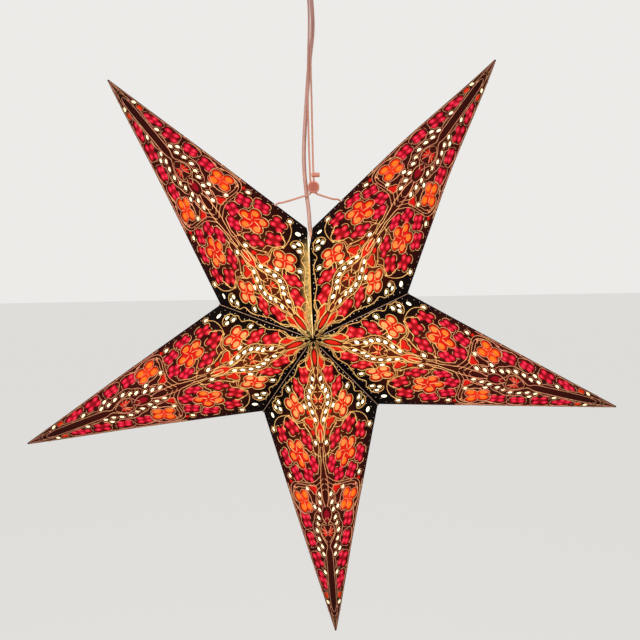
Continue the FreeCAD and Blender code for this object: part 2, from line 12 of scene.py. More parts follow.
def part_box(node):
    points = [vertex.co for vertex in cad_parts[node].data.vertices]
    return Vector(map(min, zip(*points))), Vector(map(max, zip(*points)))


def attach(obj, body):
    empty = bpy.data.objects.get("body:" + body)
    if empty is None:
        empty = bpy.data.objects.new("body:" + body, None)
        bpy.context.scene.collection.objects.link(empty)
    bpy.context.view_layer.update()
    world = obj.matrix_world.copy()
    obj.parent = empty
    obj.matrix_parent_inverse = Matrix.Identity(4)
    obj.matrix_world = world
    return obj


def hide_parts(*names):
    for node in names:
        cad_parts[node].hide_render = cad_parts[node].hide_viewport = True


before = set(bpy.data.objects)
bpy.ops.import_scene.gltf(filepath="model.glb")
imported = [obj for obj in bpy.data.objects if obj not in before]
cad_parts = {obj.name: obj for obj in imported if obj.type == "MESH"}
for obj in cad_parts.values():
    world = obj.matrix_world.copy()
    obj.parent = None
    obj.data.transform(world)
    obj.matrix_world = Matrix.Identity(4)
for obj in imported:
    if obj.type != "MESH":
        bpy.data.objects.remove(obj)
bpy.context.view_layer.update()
rng = random.Random(7)

# ---- sizes, in millimetres
MM = 0.001
STAR_RADIUS = 300.0
VALLEY_RADIUS = 93.3
HALF_DEPTH = -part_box("bottom_card")[0].y / MM
STAR_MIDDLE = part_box("bottom_card")[1].z / MM
STAR_ROLL = 2.5  # degrees
TIP_BLUNT = 3.0
CARD = 0.5
LINING = 0.22
LINING_GAP = 0.02
SEAM = 0.12  # half of the tied seam's gap
FIN_HEIGHT = 3.2
FIN_START = 8.0
SEAM_FIN = 0.72  # a fin's length along the tied seam, as a share of the others'
CORD_RADIUS = 1.0
CABLE_RADIUS = 1.9
CABLE_ROOM = 0.9  # round the cable, in the cards' way in
TIE_HOLE = 1.7  # radius
TIE_HOLE_PLACE = 40.0  # from the valley, along the outer fold
POINTS = {"upper_left": 36.0, "left": 108.0, "bottom": 180.0, "right": 252.0, "upper_right": 324.0}
# How the folded paper has settled, to the right and up: the front peak, then for each point its front
# beside the valleys, and its tip.
PEAK_LEAN = (-2.0, 0.0)
SETTLED = {
    "upper_left": ((-3.0, 0.5), (-3.0, 1.5)),
    "left": ((-3.0, 0.0), (-1.0, -2.0)),
    "bottom": ((-1.0, 0.0), (1.5, -1.5)),
    "right": ((0.5, 1.5), (0.0, 0.0)),
    "upper_right": ((-1.0, 3.5), (5.5, -1.5)),
}
HALF_STEP = math.radians(36.0)  # from a ridge to the next valley
LEAN = math.radians(STAR_ROLL)
MIDDLE = (0.0, 0.0, STAR_MIDDLE * MM)


# ---- materials; their distances are in metres
def shade(value):
    """A colour from 0 to 255, or a grey that stands for a number, as the shaders take it."""
    if not isinstance(value, tuple):
        return (value, value, value, 1.0)
    shares = [part / 255.0 for part in value]
    return (*(x / 12.92 if x <= 0.04045 else ((x + 0.055) / 1.055) ** 2.4 for x in shares), 1.0)


class Nodes:
    """A material, or the world, under construction."""

    def __init__(self, name, store="materials", shader="Principled BSDF", output="Material Output"):
        self.result = getattr(bpy.data, store).new(name)
        self.result.use_nodes = True
        self.tree = self.result.node_tree
        self.shader = self.tree.nodes[shader]
        self.surface = self.tree.nodes[output].inputs["Surface"]

    def add(self, kind, inputs=(), **settings):
        """A node with its settings, and its inputs by name or number: a value, or another node's output."""
        node = self.tree.nodes.new("ShaderNode" + kind)
        for name, value in settings.items():
            setattr(node, name, value)
        for name, value in dict(inputs).items():
            self.join(node.inputs[name], value)
        return node

    def join(self, socket, value):
        """Sets a socket, or links it. A colour of three numbers is from 0 to 255."""
        if isinstance(value, bpy.types.NodeSocket):
            self.tree.links.new(value, socket)
        else:
            socket.default_value = shade(value) if socket.type == "RGBA" and len(value) == 3 else value

    def set(self, **sockets):
        """Sets the shader's own sockets; underscores stand for spaces."""
        for name, value in sockets.items():
            self.join(self.shader.inputs[name.replace("_", " ")], value)

    def blend(self, share, other):
        """Mixes another shader with the shader."""
        mixed = self.add("MixShader", {0: share, 1: self.shader.outputs[0], 2: other.outputs[0]})
        self.join(self.surface, mixed.outputs[0])

    def bump(self, height, strength, distance=0.0003):
        """Bends the shader's normal by a height."""
        node = self.add("Bump", {"Height": height, "Strength": strength, "Distance": distance})
        self.set(Normal=node.outputs["Normal"])

    def place(self, stretch=None):
        """Where a point of the surface is, on the object."""
        place = self.add("TexCoord").outputs["Object"]
        if stretch:
            place = self.add("Mapping", {"Vector": place, "Scale": stretch}).outputs["Vector"]
        return place

    def height(self):
        """How high a point of the surface is."""
        return self.add("SeparateXYZ", {"Vector": self.place()}).outputs["Z"]

    def noise(self, scale, detail=3.0, stretch=None):
        """Plain noise, 0 to 1."""
        inputs = {"Vector": self.place(stretch), "Scale": scale, "Detail": detail}
        return self.add("TexNoise", inputs).outputs["Fac"]

    def math(self, operation, *values):
        """Arithmetic with numbers."""
        return self.add("Math", dict(enumerate(values)), operation=operation).outputs[0]

    def times(self, *values):
        """A product."""
        return functools.reduce(lambda one, two: self.math("MULTIPLY", one, two), values)

    def vector(self, operation, *values):
        """Arithmetic with vectors."""
        result = "Value" if operation in ("LENGTH", "DOT_PRODUCT") else "Vector"
        return self.add("VectorMath", dict(enumerate(values)), operation=operation).outputs[result]

    def spread(self, value, low, high, first=0.0, last=1.0):
        """A number that goes from first to last while the value goes from low to high."""
        inputs = {"Value": value, "From Min": low, "From Max": high, "To Min": first, "To Max": last}
        return self.add("MapRange", inputs).outputs[0]

    def ramp(self, value, low, high, first, last, *more):
        """A colour that goes from first to last while the value goes from low to high, and more stops."""
        node = self.add("ValToRGB", {"Fac": value})
        stops = node.color_ramp.elements
        stops[0].position, stops[0].color = low, shade(first)
        stops[1].position, stops[1].color = high, shade(last)
        for place, colour in more:
            stops.new(place).color = shade(colour)
        return node.outputs["Color"]

    def mottle(self, noise, dark, light):
        """A noise in two colours."""
        return self.ramp(noise, 0.3, 0.7, dark, light)

    def mix(self, share, first, last, blend="MIX"):
        """Two colours mixed."""
        inputs = {"Factor": share, "A": first, "B": last}
        return self.add("Mix", inputs, data_type="RGBA", blend_type=blend).outputs["Result"]

    def reach(self, middle=MIDDLE, flat=False):
        """How far a point of the surface is from a middle, or from the line through it from front to back."""
        spot = self.vector("SUBTRACT", self.place(), middle)
        return self.vector("LENGTH", self.vector("MULTIPLY", spot, (1.0, 0.0, 1.0)) if flat else spot)

    def shown(self):
        """1 on the rays that show the background: from the camera, off gloss, or through glass."""
        rays = self.add("LightPath").outputs
        shown = self.math("MAXIMUM", rays["Is Camera Ray"], rays["Is Glossy Ray"])
        return self.math("MAXIMUM", shown, rays["Is Transmission Ray"])


def painted_card_glow(made):
    """Painted glow on the card for scattered lamp light: most near the middle and the ridges, none in the
    valleys.
    """
    near = made.ramp(made.reach(flat=True), 0.006, 0.028, 0.0, 1.0, (0.075, 1.0),
                     (0.13, 0.45), (0.2, 0.45), (0.3, 0.12))
    spot = made.add("SeparateXYZ", {"Vector": made.vector("SUBTRACT", made.place(), MIDDLE)}).outputs
    turn = made.math("ARCTAN2", spot["Z"], spot["X"])
    ridge = math.pi / 2 - HALF_STEP + LEAN
    beat = made.math("COSINE", made.math("MULTIPLY_ADD", turn, 5.0, -5.0 * ridge))
    return made.times(near, made.spread(beat, -0.75, 0.7))


def painted_seam_leak(made):
    """How much painted light the card gets along the left side of the tied seam, where light leaks out."""
    spot = made.vector("SUBTRACT", made.place(), MIDDLE)
    beside = made.vector("DOT_PRODUCT", spot, (math.cos(LEAN), 0.0, math.sin(LEAN)))
    above = made.vector("DOT_PRODUCT", spot, (-math.sin(LEAN), 0.0, math.cos(LEAN)))
    band = made.times(made.spread(beside, -0.0112, -0.0027), made.math("LESS_THAN", beside, -0.0016))
    flecks = made.spread(made.noise(420.0, 2.0), 0.38, 0.62, 0.55, 1.2)
    upper = made.ramp(above, 0.0, 0.02, 0.0, 1.0, (0.07, 0.8), (0.084, 0.0))
    return made.times(made.math("POWER", band, 1.4), flecks, upper)


def card_material():
    """Matt black card with short fibres, with a painted glow near the star's middle and a painted light leak
    by the tied seam.
    """
    made = Nodes("card")
    colour = made.ramp(made.noise(900.0, 4.0), 0.3, 0.75, (6, 2, 2), (20, 8, 6))
    # painted glow near the star's middle, as emission
    painted_glow = made.ramp(painted_card_glow(made), 0.0, 1.0, 0.0, (94, 30, 6), (0.4, (56, 6, 1)))
    # painted light leak beside the tied seam, as emission
    painted_leak = made.ramp(painted_seam_leak(made), 0.0, 1.0, 0.0, (255, 204, 112))
    made.set(Base_Color=colour, Roughness=0.85, Specular_IOR_Level=0.05,
             Emission_Color=made.mix(1.0, painted_glow, painted_leak, "ADD"), Emission_Strength=1.0)
    made.bump(made.noise(1400.0, 2.0), 0.35)
    return made.result


def fin_edge_highlight_material():
    """Painted highlight: the raw edge of the glued fins, painted pale where it catches the light."""
    made = Nodes("card_edge")
    colour = made.mottle(made.noise(700.0), (150, 112, 90), (208, 170, 142))
    made.set(Base_Color=colour, Roughness=0.8, Specular_IOR_Level=0.2)
    return made.result


def gold_material():
    """Raised lines of gold paint with a fine glitter, and painted light: yellower near the star's middle, and
    a faint glow.
    """
    made = Nodes("gold_line")
    grains = made.add("TexVoronoi", {"Vector": made.place(), "Scale": 3200.0}).outputs["Color"]
    grain = made.add("SeparateColor", {"Color": grains}).outputs[0]
    cloud = made.noise(110.0, 2.0)
    reach = made.reach()
    # painted light: yellower near the star's middle
    near = made.ramp(cloud, 0.36, 0.64, (236, 166, 90), (252, 206, 120))
    far = made.ramp(cloud, 0.36, 0.64, (226, 134, 104), (238, 166, 112))
    tone = made.mix(made.spread(reach, 0.085, 0.16), near, far)
    # painted shade: darker at the very middle, and much darker towards the tips
    dark = made.spread(made.reach(flat=True), 0.004, 0.026, 0.5, 1.0)
    light = made.times(made.spread(grain, 0.0, 1.0, 0.8, 1.2), made.spread(reach, 0.14, 0.3, 1.0, 0.32), dark)
    colour = made.mix(1.0, tone, light, "MULTIPLY")
    made.set(Base_Color=colour, Metallic=0.4, Roughness=0.42, Specular_IOR_Level=0.5,
             Emission_Color=colour, Emission_Strength=0.2)
    made.bump(grain, 0.5, 0.0001)
    return made.result


def lit_paper(made, paper, glow, level, strength, cloud, bump):
    """Gives thin paper, as a painted glow, the light that comes through it."""
    made.set(Base_Color=paper, Roughness=0.9, Specular_IOR_Level=0.1,
             Emission_Color=made.mix(1.0, glow, level, "MULTIPLY"), Emission_Strength=strength)
    made.bump(cloud, bump)
    made.result.cycles.emission_sampling = "NONE"
    return made.result


def tissue_material(name, near, far, paper, streaks=0.16, strength=1.0):
    """Thin paper with painted light from behind: cloudy, with fibres, paler near the lamp and deeper towards
    the tips.
    """
    made = Nodes("tissue_" + name)
    reach = made.reach()
    # painted light: paler near the lamp, deeper towards the tips
    glow = made.ramp(made.spread(reach, 0.078, 0.125), 0.0, 1.0, near, far)
    cloud = made.noise(420.0, 5.0, (1.0, 1.0, 0.35))
    lights = made.spread(cloud, 0.3, 0.7, 1.0 - streaks, 1.0 + streaks)
    # painted shade: dimmer towards the tips
    level = made.times(made.spread(reach, 0.19, 0.3, 1.0, 0.7), lights)
    return lit_paper(made, paper, glow, level, strength, cloud, 0.2)


def inner_material():
    """The back of the tissue, seen through the tied seam, with a painted glow: golden, and nearly white by
    the cable's way in.
    """
    made = Nodes("tissue_back")
    rise = made.spread(made.height(), (STAR_MIDDLE + 66.0) * MM, (STAR_MIDDLE + 82.0) * MM)
    cloud = made.spread(made.noise(420.0, 4.0), 0.0, 1.0, 0.85, 1.15)
    # painted light: a golden glow, nearly white by the cable's way in
    glow = made.ramp(rise, 0.0, 1.0, (224, 172, 92), (255, 244, 212))
    return lit_paper(made, (110, 70, 50), glow, cloud, 1.3, cloud, 0.1)


# each tissue's near and far colours are painted light: paler near the lamp, deeper towards the tips
TISSUES = {looks[0]: tissue_material(*looks) for looks in (
    ("sheet", (164, 12, 12), (136, 2, 20), (70, 4, 8)),
    ("crimson", (228, 26, 36), (218, 8, 42), (80, 8, 20)),
    ("pink", (250, 96, 88), (236, 60, 88), (110, 20, 35), 0.1),
    ("red", (222, 34, 12), (212, 14, 6), (90, 12, 8)),
    ("vermilion", (236, 62, 18), (230, 46, 4), (100, 25, 10)),
    ("orange", (253, 176, 104), (246, 112, 18), (110, 60, 20), 0.08),
    ("spark", (255, 226, 190), (255, 206, 168), (120, 110, 90), 0.05, 1.1),
    ("cream", (255, 246, 214), (255, 240, 186), (120, 110, 90), 0.05, 1.9),
)}
TISSUES["back"] = inner_material()


def cord_material():
    """Cotton cord, painted dusty pink for the star's reddish light on it, and painted warmer lower down where
    that light is stronger.
    """
    made = Nodes("cotton_cord")
    # painted light: paler and warmer lower down, nearer the star
    colour = made.ramp(made.spread(made.height(), -0.26, -0.05), 0.0, 1.0, (224, 162, 138), (166, 126, 118))
    specks = made.spread(made.noise(2600.0), 0.3, 0.7, 0.72, 1.12)
    made.set(Base_Color=made.mix(1.0, colour, specks, "MULTIPLY"), Roughness=0.9, Specular_IOR_Level=0.15)
    made.bump(made.noise(3200.0), 0.6, 0.0002)
    return made.result


def smooth_material(name, dark, light, roughness, scale=500.0, bump=0.15, **sockets):
    """Moulded plastic or painted metal: a fine mottle, and roughness that varies a little."""
    made = Nodes(name)
    mottle = made.noise(scale)
    rough = made.spread(made.noise(scale * 0.13), 0.3, 0.7, roughness * 0.8, roughness * 1.25)
    made.set(Base_Color=made.mottle(mottle, dark, light), Roughness=rough, **sockets)
    made.bump(mottle, bump, 0.0002)
    return made.result


def bead_material():
    """Dyed wood, with a painted highlight that makes the flat bead's rim paler."""
    made = Nodes("bead")
    low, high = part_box("cord_bead")
    radius = (high.x - low.x) / 2
    grain = made.noise(500.0, 4.0, (1.0, 1.0, 0.3))
    wood = made.mottle(grain, (158, 80, 62), (180, 98, 78))
    # painted highlight: a paler rim
    rim = made.mottle(grain, (196, 124, 102), (212, 142, 118))
    share = made.spread(made.reach(tuple((low + high) / 2), True), 0.7 * radius, 0.86 * radius)
    made.set(Base_Color=made.mix(share, wood, rim), Roughness=0.4)
    made.bump(grain, 0.2, 0.0002)
    return made.result


def sheath_material():
    """The cable's moulded sheath, painted pinkish for the star's reddish light, and painted paler where that
    light reaches it.
    """
    made = Nodes("cable_sheath")
    mottle = made.noise(260.0)
    low = made.mottle(mottle, (198, 150, 134), (214, 168, 150))
    high = made.mottle(mottle, (164, 114, 104), (184, 132, 122))
    # painted light: paler lower down, nearer the star
    colour = made.mix(made.spread(made.height(), -0.3, -0.12), low, high)
    made.set(Base_Color=colour, Roughness=made.spread(mottle, 0.0, 1.0, 0.36, 0.56))
    made.bump(mottle, 0.1, 0.0002)
    return made.result


def lamp_material():
    """An opal globe that glows over a plain metal thread."""
    made = Nodes("opal_lamp")
    glass = made.math("LESS_THAN", made.height(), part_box("contact_block")[0].z - 4.0 * MM)
    made.set(Base_Color=made.mix(glass, (190, 186, 176), (246, 240, 226)), Roughness=0.3,
             Metallic=made.math("SUBTRACT", 1.0, glass),
             Emission_Color=made.mix(glass, (0, 0, 0), (255, 226, 170)), Emission_Strength=1.6)
    made.bump(made.noise(300.0), 0.05)
    return made.result


# ---- outlines on a facet
# A facet is drawn flat, in millimetres: x runs along the ridge from the peak, y across towards the valley.
def unit(vector):
    """A vector's direction."""
    return vector / np.linalg.norm(vector)


def facing(vector, ahead):
    """A vector, or its opposite, so that it points ahead."""
    return vector if vector @ ahead > 0 else -vector


TIP = np.array((0.0, 0.0, STAR_RADIUS))
PEAK = np.array((0.0, -HALF_DEPTH, 0.0))
VALLEY = np.array((VALLEY_RADIUS * math.sin(HALF_STEP), 0.0, VALLEY_RADIUS * math.cos(HALF_STEP)))
ALONG = (TIP - PEAK) / math.hypot(STAR_RADIUS, HALF_DEPTH)
OUTWARD = facing(unit(np.cross(TIP - PEAK, VALLEY - PEAK)), PEAK)
ACROSS = facing(np.cross(OUTWARD, ALONG), VALLEY - PEAK)


def flat(point):
    """A point of the facet's plane in the facet's own millimetres."""
    return np.array(((point - PEAK) @ ALONG, (point - PEAK) @ ACROSS))


CORNER = flat(VALLEY)
TIP_FLAT = flat(TIP)
TIP_SIDE = flat(TIP + (VALLEY - TIP) * TIP_BLUNT / (STAR_RADIUS - VALLEY[2]))
TIP_END = flat(TIP + (PEAK - TIP) * TIP_BLUNT / STAR_RADIUS)
OUTLINE = [np.zeros(2), TIP_END, TIP_SIDE, CORNER]
EDGE = unit(CORNER - TIP_FLAT)
EDGE_IN = facing(np.array((-EDGE[1], EDGE[0])), -CORNER)


def beside_valley(along, inset):
    """A point some way along the valley from the peak, and some way in from it."""
    run = unit(CORNER)
    return tuple(run * along + np.array((run[1], -run[0])) * inset)


def edge_height(x):
    """How far the facet reaches from the ridge at a place along it."""
    return (TIP_FLAT[0] - x) * CORNER[1] / (TIP_FLAT[0] - CORNER[0])


def sides(outline):
    """Each point of an outline with the next."""
    return zip(outline, outline[1:] + outline[:1])


def left_of(a, b, points):
    """Above 0 for points on the left of the line from a to b."""
    return (b[0] - a[0]) * (points[..., 1] - a[1]) - (b[1] - a[1]) * (points[..., 0] - a[0])


def polar(x, y, length, turn):
    """A point at a distance and a direction from another."""
    angle = math.radians(turn)
    return (x + length * math.cos(angle), y + length * math.sin(angle))


def ring(x, y, radius, count=12):
    """A round outline."""
    return [polar(x, y, radius, 360.0 * i / count) for i in range(count)]


def lobed(x, y, lobes, radius, count=40, core=0.0):
    """The outline of several equal discs round a middle, and of a core."""
    outline = []
    for i in range(count):
        angle = 2 * math.pi * i / count
        ux, uy = math.cos(angle), math.sin(angle)
        reach = core or radius * 0.8
        for lx, ly in lobes:
            ahead = (lx - x) * ux + (ly - y) * uy
            aside = (lx - x) * uy - (ly - y) * ux
            if abs(aside) < radius:
                reach = max(reach, ahead + math.sqrt(radius ** 2 - aside ** 2))
        outline.append((x + reach * ux, y + reach * uy))
    return outline


def smooth(points, step=1.6):
    """A smooth line through points, cut into short steps."""
    known = np.array(points, float)
    known = [2 * known[0] - known[1], *known, 2 * known[-1] - known[-2]]
    result = []
    for before, start, end, after in zip(known, known[1:], known[2:], known[3:]):
        bend, twist = 2 * before - 5 * start + 4 * end - after, 3 * start - before - 3 * end + after
        cuts = max(2, round(np.linalg.norm(end - start) / step))
        for t in (k / cuts for k in range(cuts)):
            result.append(0.5 * (2 * start + (end - before) * t + bend * t * t + twist * t ** 3))
    return [tuple(p) for p in result + [known[-2]]]


def leaf(x, y, length, width, turn, count=7):
    """A leaf with two pointed ends."""
    outline = []
    for side in (1, -1):
        for t in (i / count for i in range(count)):
            place = polar(x, y, (t - 0.5) * length * side, turn)
            outline.append(polar(*place, width / 2 * side * math.sin(math.pi * t) ** 0.8, turn + 90))
    return outline


def half_leaf(start, end, height, lean=0.5, count=9):
    """A form that lies on the ridge: this is the half on one side of it."""
    power = math.log(0.5) / math.log(lean)
    shares = [i / count for i in range(1, count)]
    side = [(start + (end - start) * t ** power, height * math.sin(math.pi * t) ** 0.75) for t in shares]
    return [(start, 0.0)] + side + [(end, 0.0)]


# ---- the cut windows
# Each cluster is four dots round a middle: x, y, then half of each diagonal and its direction.
CLUSTERS = [
    (38.3, 15.8, 5.4, 30, 4, -40), (54, 25, 5.6, -31, 3.1, 70),
    (103.3, 19.5, 6, -36, 3.8, 56), (97, 38.7, 6, 88, 4.8, 2), (110.3, 54.6, 6.1, 27, 4.1, -55),
    (134.3, 52, 5.6, 2, 3.9, -70), (146.2, 38.4, 4.7, 2, 4.2, -80), (140.8, 21.1, 4.6, 42, 4.5, -44),
    (126, 12.5, 4.8, 2, 3.3, -82),
    (194.8, 29.7, 4.9, 20, 4.2, -62), (214, 24.9, 4.4, 10, 3.4, -62), (234, 18, 5.8, 12, 4.6, -73),
    (254.8, 12.7, 5.6, -22, 2.6, 75),
]
DOTS = [
    (38.5, 5.5), (46.5, 7), (51.8, 10.5), (58.3, 12.7), (65, 12), (71.7, 9), (78, 5.8), (69.8, 19),
    (101.8, 7.2), (58.8, 38.7), (76.8, 54.4), (83.6, 53.2), (84, 59.6), (94.6, 66.6), (110.4, 68.2),
    (153.6, 49.4), (156, 8), (165, 8.6), (173.6, 9.6), (173.4, 16.2), (183.5, 11.8), (190.8, 13.2),
    (199.3, 15.2), (207.8, 13.2), (214.3, 9.6), (220.4, 15.2), (222.6, 8.4), (157, 25), (243.4, 8.6),
    (278.4, 8.4),
]
VALLEY_HOLES = [  # distance from the peak along the valley, and distance from the valley
    (17, 2.6), (22.5, 3), (27, 4.2), (31, 3), (45.5, 2.6), (50, 3.4), (56.5, 2.8), (60.5, 4),
    (66.5, 2.8), (70, 3.8), (76.5, 3), (82, 4.4), (93.5, 3.6), (97, 2.6), (104.5, 3), (108.5, 8.2),
    (113.5, 3.4), (117.5, 6.8),
]
EDGE_HOLES = [  # distance along the ridge, and distance from the outer edge
    (101, 4.4), (106.5, 3.2), (116.5, 2.8), (123, 2.4), (127.5, 3), (134, 2.3), (138.5, 3.2), (146, 2.6),
    (151.5, 2.4), (155, 3.3), (163.5, 2.3),
]
MEDALLION = (122.5, 33.0)
PETALS = [polar(*MEDALLION, 9.8, -93 + 72 * i) for i in range(5)]
FLOWERS = [(73.7, 32.2, 7.6, (-90, -2, 90, 182), 3.8), (173.6, 31.6, 7.9, (-68, 6, 100, 196), 3.9)]
INNER_BUD = (82.6, 13.0, [(79.8, 10.8), (85.6, 11.6), (83.2, 16.6)])
OUTER_BUD = (153.6, 16.0, [(151.4, 13.6), (155.6, 14.6), (153.4, 18.6)])
ROSETTES = [(57.4, 7.0, 4), (195.4, 8.2, 5)]  # flowers with their middles on the ridge: place, radius, petals
LOBE = 3.3  # radius of a cluster's lobes
MEDALLION_LOBE = 5.2  # radius of the red round a petal of the medallion
FLOWER_RIM = 1.2  # how far the red reaches past a flower's petals
DOT = 2.15  # radius of a light dot
WIDE_DOT = (94.6, 66.6)  # the one that is a third wider
PINK = 1.4  # radius of the lighter middle of a lobe
SPREAD = 1.09  # how far the lobes stand apart


def rosette(x, radius, petals):
    """The petals, on one side of the ridge, of a flower with its middle on the ridge."""
    return [leaf(*polar(x, 0.0, radius * 0.6, turn), radius * 0.8, radius * 2.3 / petals, turn, 6)
            for turn in (180.0 * (i + 0.5) / petals for i in range(petals))]


def cluster_lobes(x, y, first, first_turn, second, second_turn):
    """The four dots of a cluster."""
    return [polar(x, y, reach * SPREAD, turn + flip) for flip in (0, 180)
            for reach, turn in ((first, first_turn), (second, second_turn))]


def facet_windows():
    """Every window of a facet, as (tissue, outline); a later one lies inside the earlier one it meets."""
    windows = []
    for cluster in CLUSTERS:
        lobes = cluster_lobes(*cluster)
        windows.append(("sheet", lobed(cluster[0], cluster[1], lobes, LOBE + 0.5, 40, 5.4)))
        for i in (0, 2, 1, 3):
            windows.append(("crimson", ring(*lobes[i], LOBE - 0.35)))
            windows.append(("pink", ring(*lobes[i], PINK, 10)))
    windows.append(("red", lobed(*MEDALLION, PETALS, MEDALLION_LOBE, 60, 9.6)))
    windows += [("orange", ring(px, py, 3.4, 14)) for px, py in PETALS]
    for x, y, reach, turns, petal in FLOWERS:
        lobes = [polar(x, y, reach, turn) for turn in turns]
        windows.append(("red" if x < 100 else "vermilion", lobed(x, y, lobes, petal + FLOWER_RIM, 48, 7.4)))
        windows += [("orange", ring(lx, ly, petal - 0.6, 14)) for lx, ly in lobes]
    windows += [("cream", ring(*place, DOT * (1.3 if place == WIDE_DOT else 1.0))) for place in DOTS]
    windows += [("spark", ring(*beside_valley(*place), 0.75, 6)) for place in VALLEY_HOLES]
    windows += [("spark", ring(x, edge_height(x) - inset, 0.65, 6)) for x, inset in EDGE_HOLES]
    for x, radius, petals in ROSETTES:
        core = radius * 0.4
        arc = [polar(x, 0.0, core, 180 * i / 8) for i in range(1, 8)]
        windows.append(("sheet", [(x + core, 0.0)] + arc + [(x - core, 0.0)]))
        windows += [("red", petal) for petal in rosette(x, radius, petals)]
    windows += [
        ("red", half_leaf(9.5, 25.0, 3.0)),
        ("red", leaf(23.6, 7.6, 14.0, 5.8, 14)),
        ("red", half_leaf(78.5, 97.5, 4.2, 0.55)),
        ("red", lobed(*INNER_BUD, 3.0, 24, 3.6)),
        ("red", ring(92.4, 9.8, 2.8, 10)),
        ("red", ring(74.0, 14.6, 2.5, 8)),
        ("red", lobed(*OUTER_BUD, 2.5, 20)),
        ("red", leaf(159.4, 48.2, 6.0, 3.4, 50)),
        ("sheet", half_leaf(168.5, 183.0, 4.4, 0.45)),
        ("vermilion", leaf(270.8, 9.4, 7.8, 5.0, 16)),
    ]
    return windows


